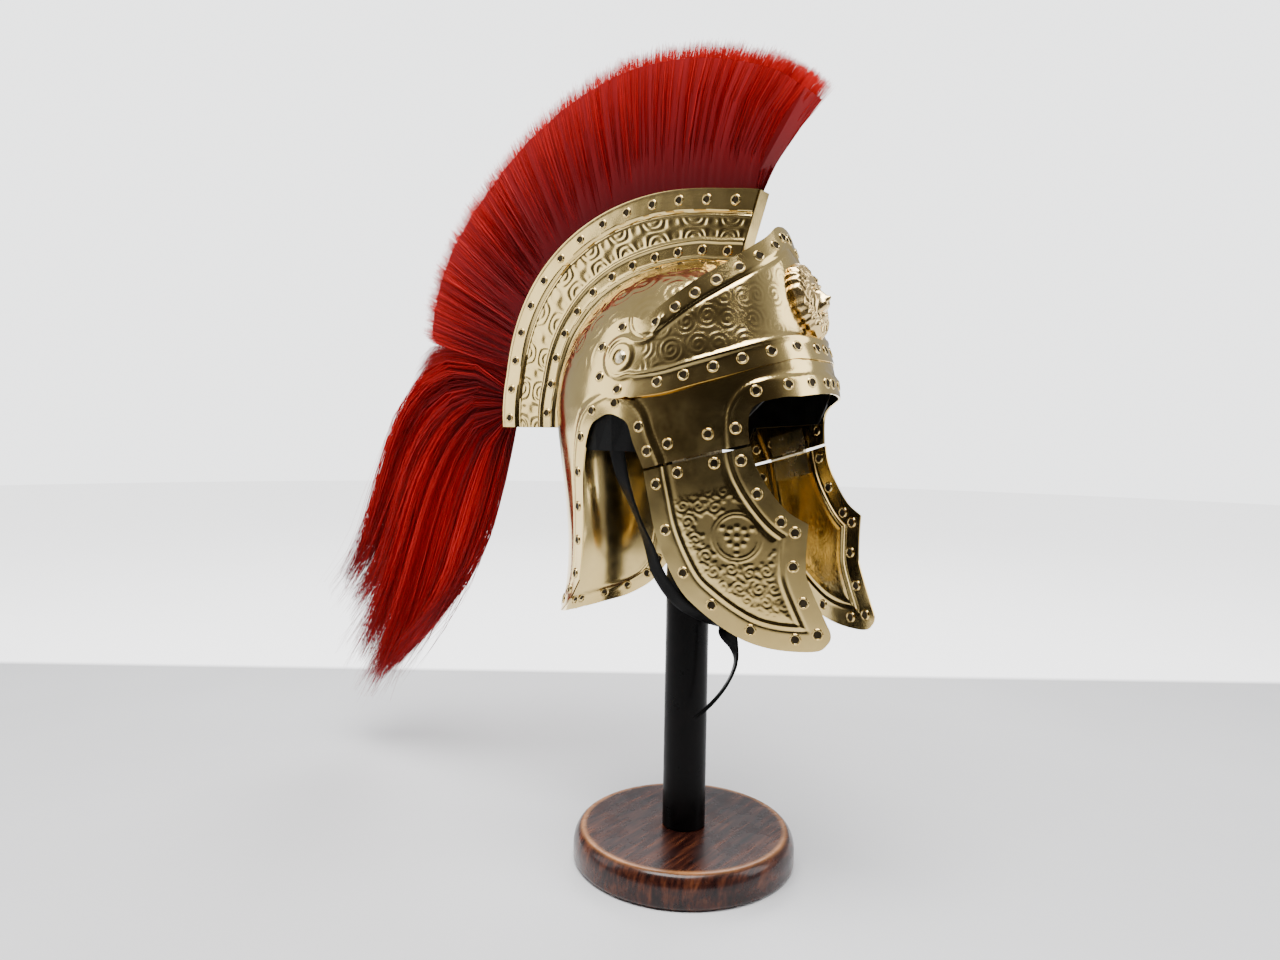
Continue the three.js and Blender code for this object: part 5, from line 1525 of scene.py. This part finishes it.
def make_stage():
    sides = 96
    radii = [0.3, 0.8, 1.6, 3.0, 6.0]
    a = 2 * math.pi * np.arange(sides) / sides
    rings = [np.stack([r * np.cos(a), r * np.sin(a), 0 * a], 1) for r in radii]
    faces = [ring_quads(len(radii), sides)[:, [0, 3, 2, 1]], fan(len(radii) * sides, np.arange(sides))]
    floor = make_mesh("studio_floor", np.vstack([*rings, np.zeros((1, 3))]), faces, sharp=0)
    material, tree, shader = new_material("studio_floor")
    tone = ramp(tree, noise(tree, 2.5, 6), [(0.3, (0.80, 0.80, 0.81)), (0.7, (0.86, 0.86, 0.87))])
    place = add_node(tree, "TexCoord").outputs["Object"]
    ahead = along_axis(tree, place, Vector((CAMERA_AHEAD.x, CAMERA_AHEAD.y, 0)).normalized())
    # Floor painted dark behind the camera: painted shade for the brass to reflect
    floor_painted_shade = spread(tree, ahead, 0, 0.6, *FLOOR_DARK)
    fill(tree, shader, {
        "Base Color": mixed_color(tree, floor_painted_shade, tone, (0.03, 0.027, 0.025, 1)),
        "Roughness": 0.6,
        "Emission Color": (1, 1, 1, 1),
        "Emission Strength": spread(tree, ahead, 0, FLOOR_GLOW, FLOOR_LINE, FLOOR_LINE + 0.02),
    })
    floor.data.materials.append(material)


def area_light(name, place, size, power):
    data = bpy.data.lights.new(name, "AREA")
    data.shape = "RECTANGLE"
    data.size, data.size_y = size
    data.energy = power
    lamp = bpy.data.objects.new(name, data)
    lamp.location = place
    lamp.rotation_euler = (LAMP_TARGET - Vector(place)).to_track_quat("-Z", "Y").to_euler()
    bpy.context.scene.collection.objects.link(lamp)


def make_lights():
    """The room that reflections show darkens toward the camera; the camera sees a bright wall."""
    world = bpy.data.worlds.new("studio")
    bpy.context.scene.world = world
    world.use_nodes = True
    tree = world.node_tree
    place = add_node(tree, "TexCoord").outputs["Generated"]
    tone = ramp(tree, along_axis(tree, place, ROOM_AXIS), [
        (0.0, (0.56, 0.57, 0.60)), (0.34, (0.44, 0.44, 0.45)), (0.62, (0.07, 0.06, 0.05)),
        (1.0, (0.025, 0.022, 0.02)),
    ])
    room = tree.nodes["Background"]
    fill(tree, room, {"Color": tone, "Strength": 0.9})
    wall = add_node(tree, "Background", {"Color": (0.98, 0.99, 1, 1), "Strength": 3.0})
    seen = add_node(tree, "LightPath").outputs["Is Camera Ray"]
    mix = add_node(tree, "MixShader", {"Fac": seen, 1: room.outputs["Background"],
                                       2: wall.outputs["Background"]})
    fill(tree, tree.nodes["World Output"], {"Surface": mix.outputs["Shader"]})
    for lamp in LAMPS:
        area_light(*lamp)


def make_camera():
    data = bpy.data.cameras.new("photo_camera")
    data.lens = CAMERA_LENS
    data.sensor_width = CAMERA_SENSOR
    data.sensor_fit = "HORIZONTAL"
    data.clip_start = 0.02
    data.clip_end = 30
    camera = bpy.data.objects.new("photo_camera", data)
    ahead = CAMERA_AHEAD.normalized()
    right = ahead.cross(Vector((0, 0, 1))).normalized()
    up = right.cross(ahead)
    roll = math.radians(CAMERA_ROLL)
    right, up = (right * math.cos(roll) - up * math.sin(roll),
                 right * math.sin(roll) + up * math.cos(roll))
    turn = Matrix((right, up, -ahead)).transposed()
    camera.matrix_world = Matrix.Translation(CAMERA_PLACE) @ turn.to_4x4()
    bpy.context.scene.collection.objects.link(camera)
    bpy.context.scene.camera = camera


make_camera()
make_strap()
make_stand()
helmet_rivets = make_skull()
helmet_rivets += make_brow()
for plate_name, plate_side in (("right", -1), ("left", 1)):
    make_cheek(plate_name, plate_side)
    helmet_rivets += make_crest_plate(plate_name, plate_side)
rivet_piece("helmet_rivets", "helmet", helmet_rivets)
make_medallion()
make_hair_core()
make_crest_hair()
make_tail()
make_bridge()
dress_nodes()
make_stage()
make_lights()
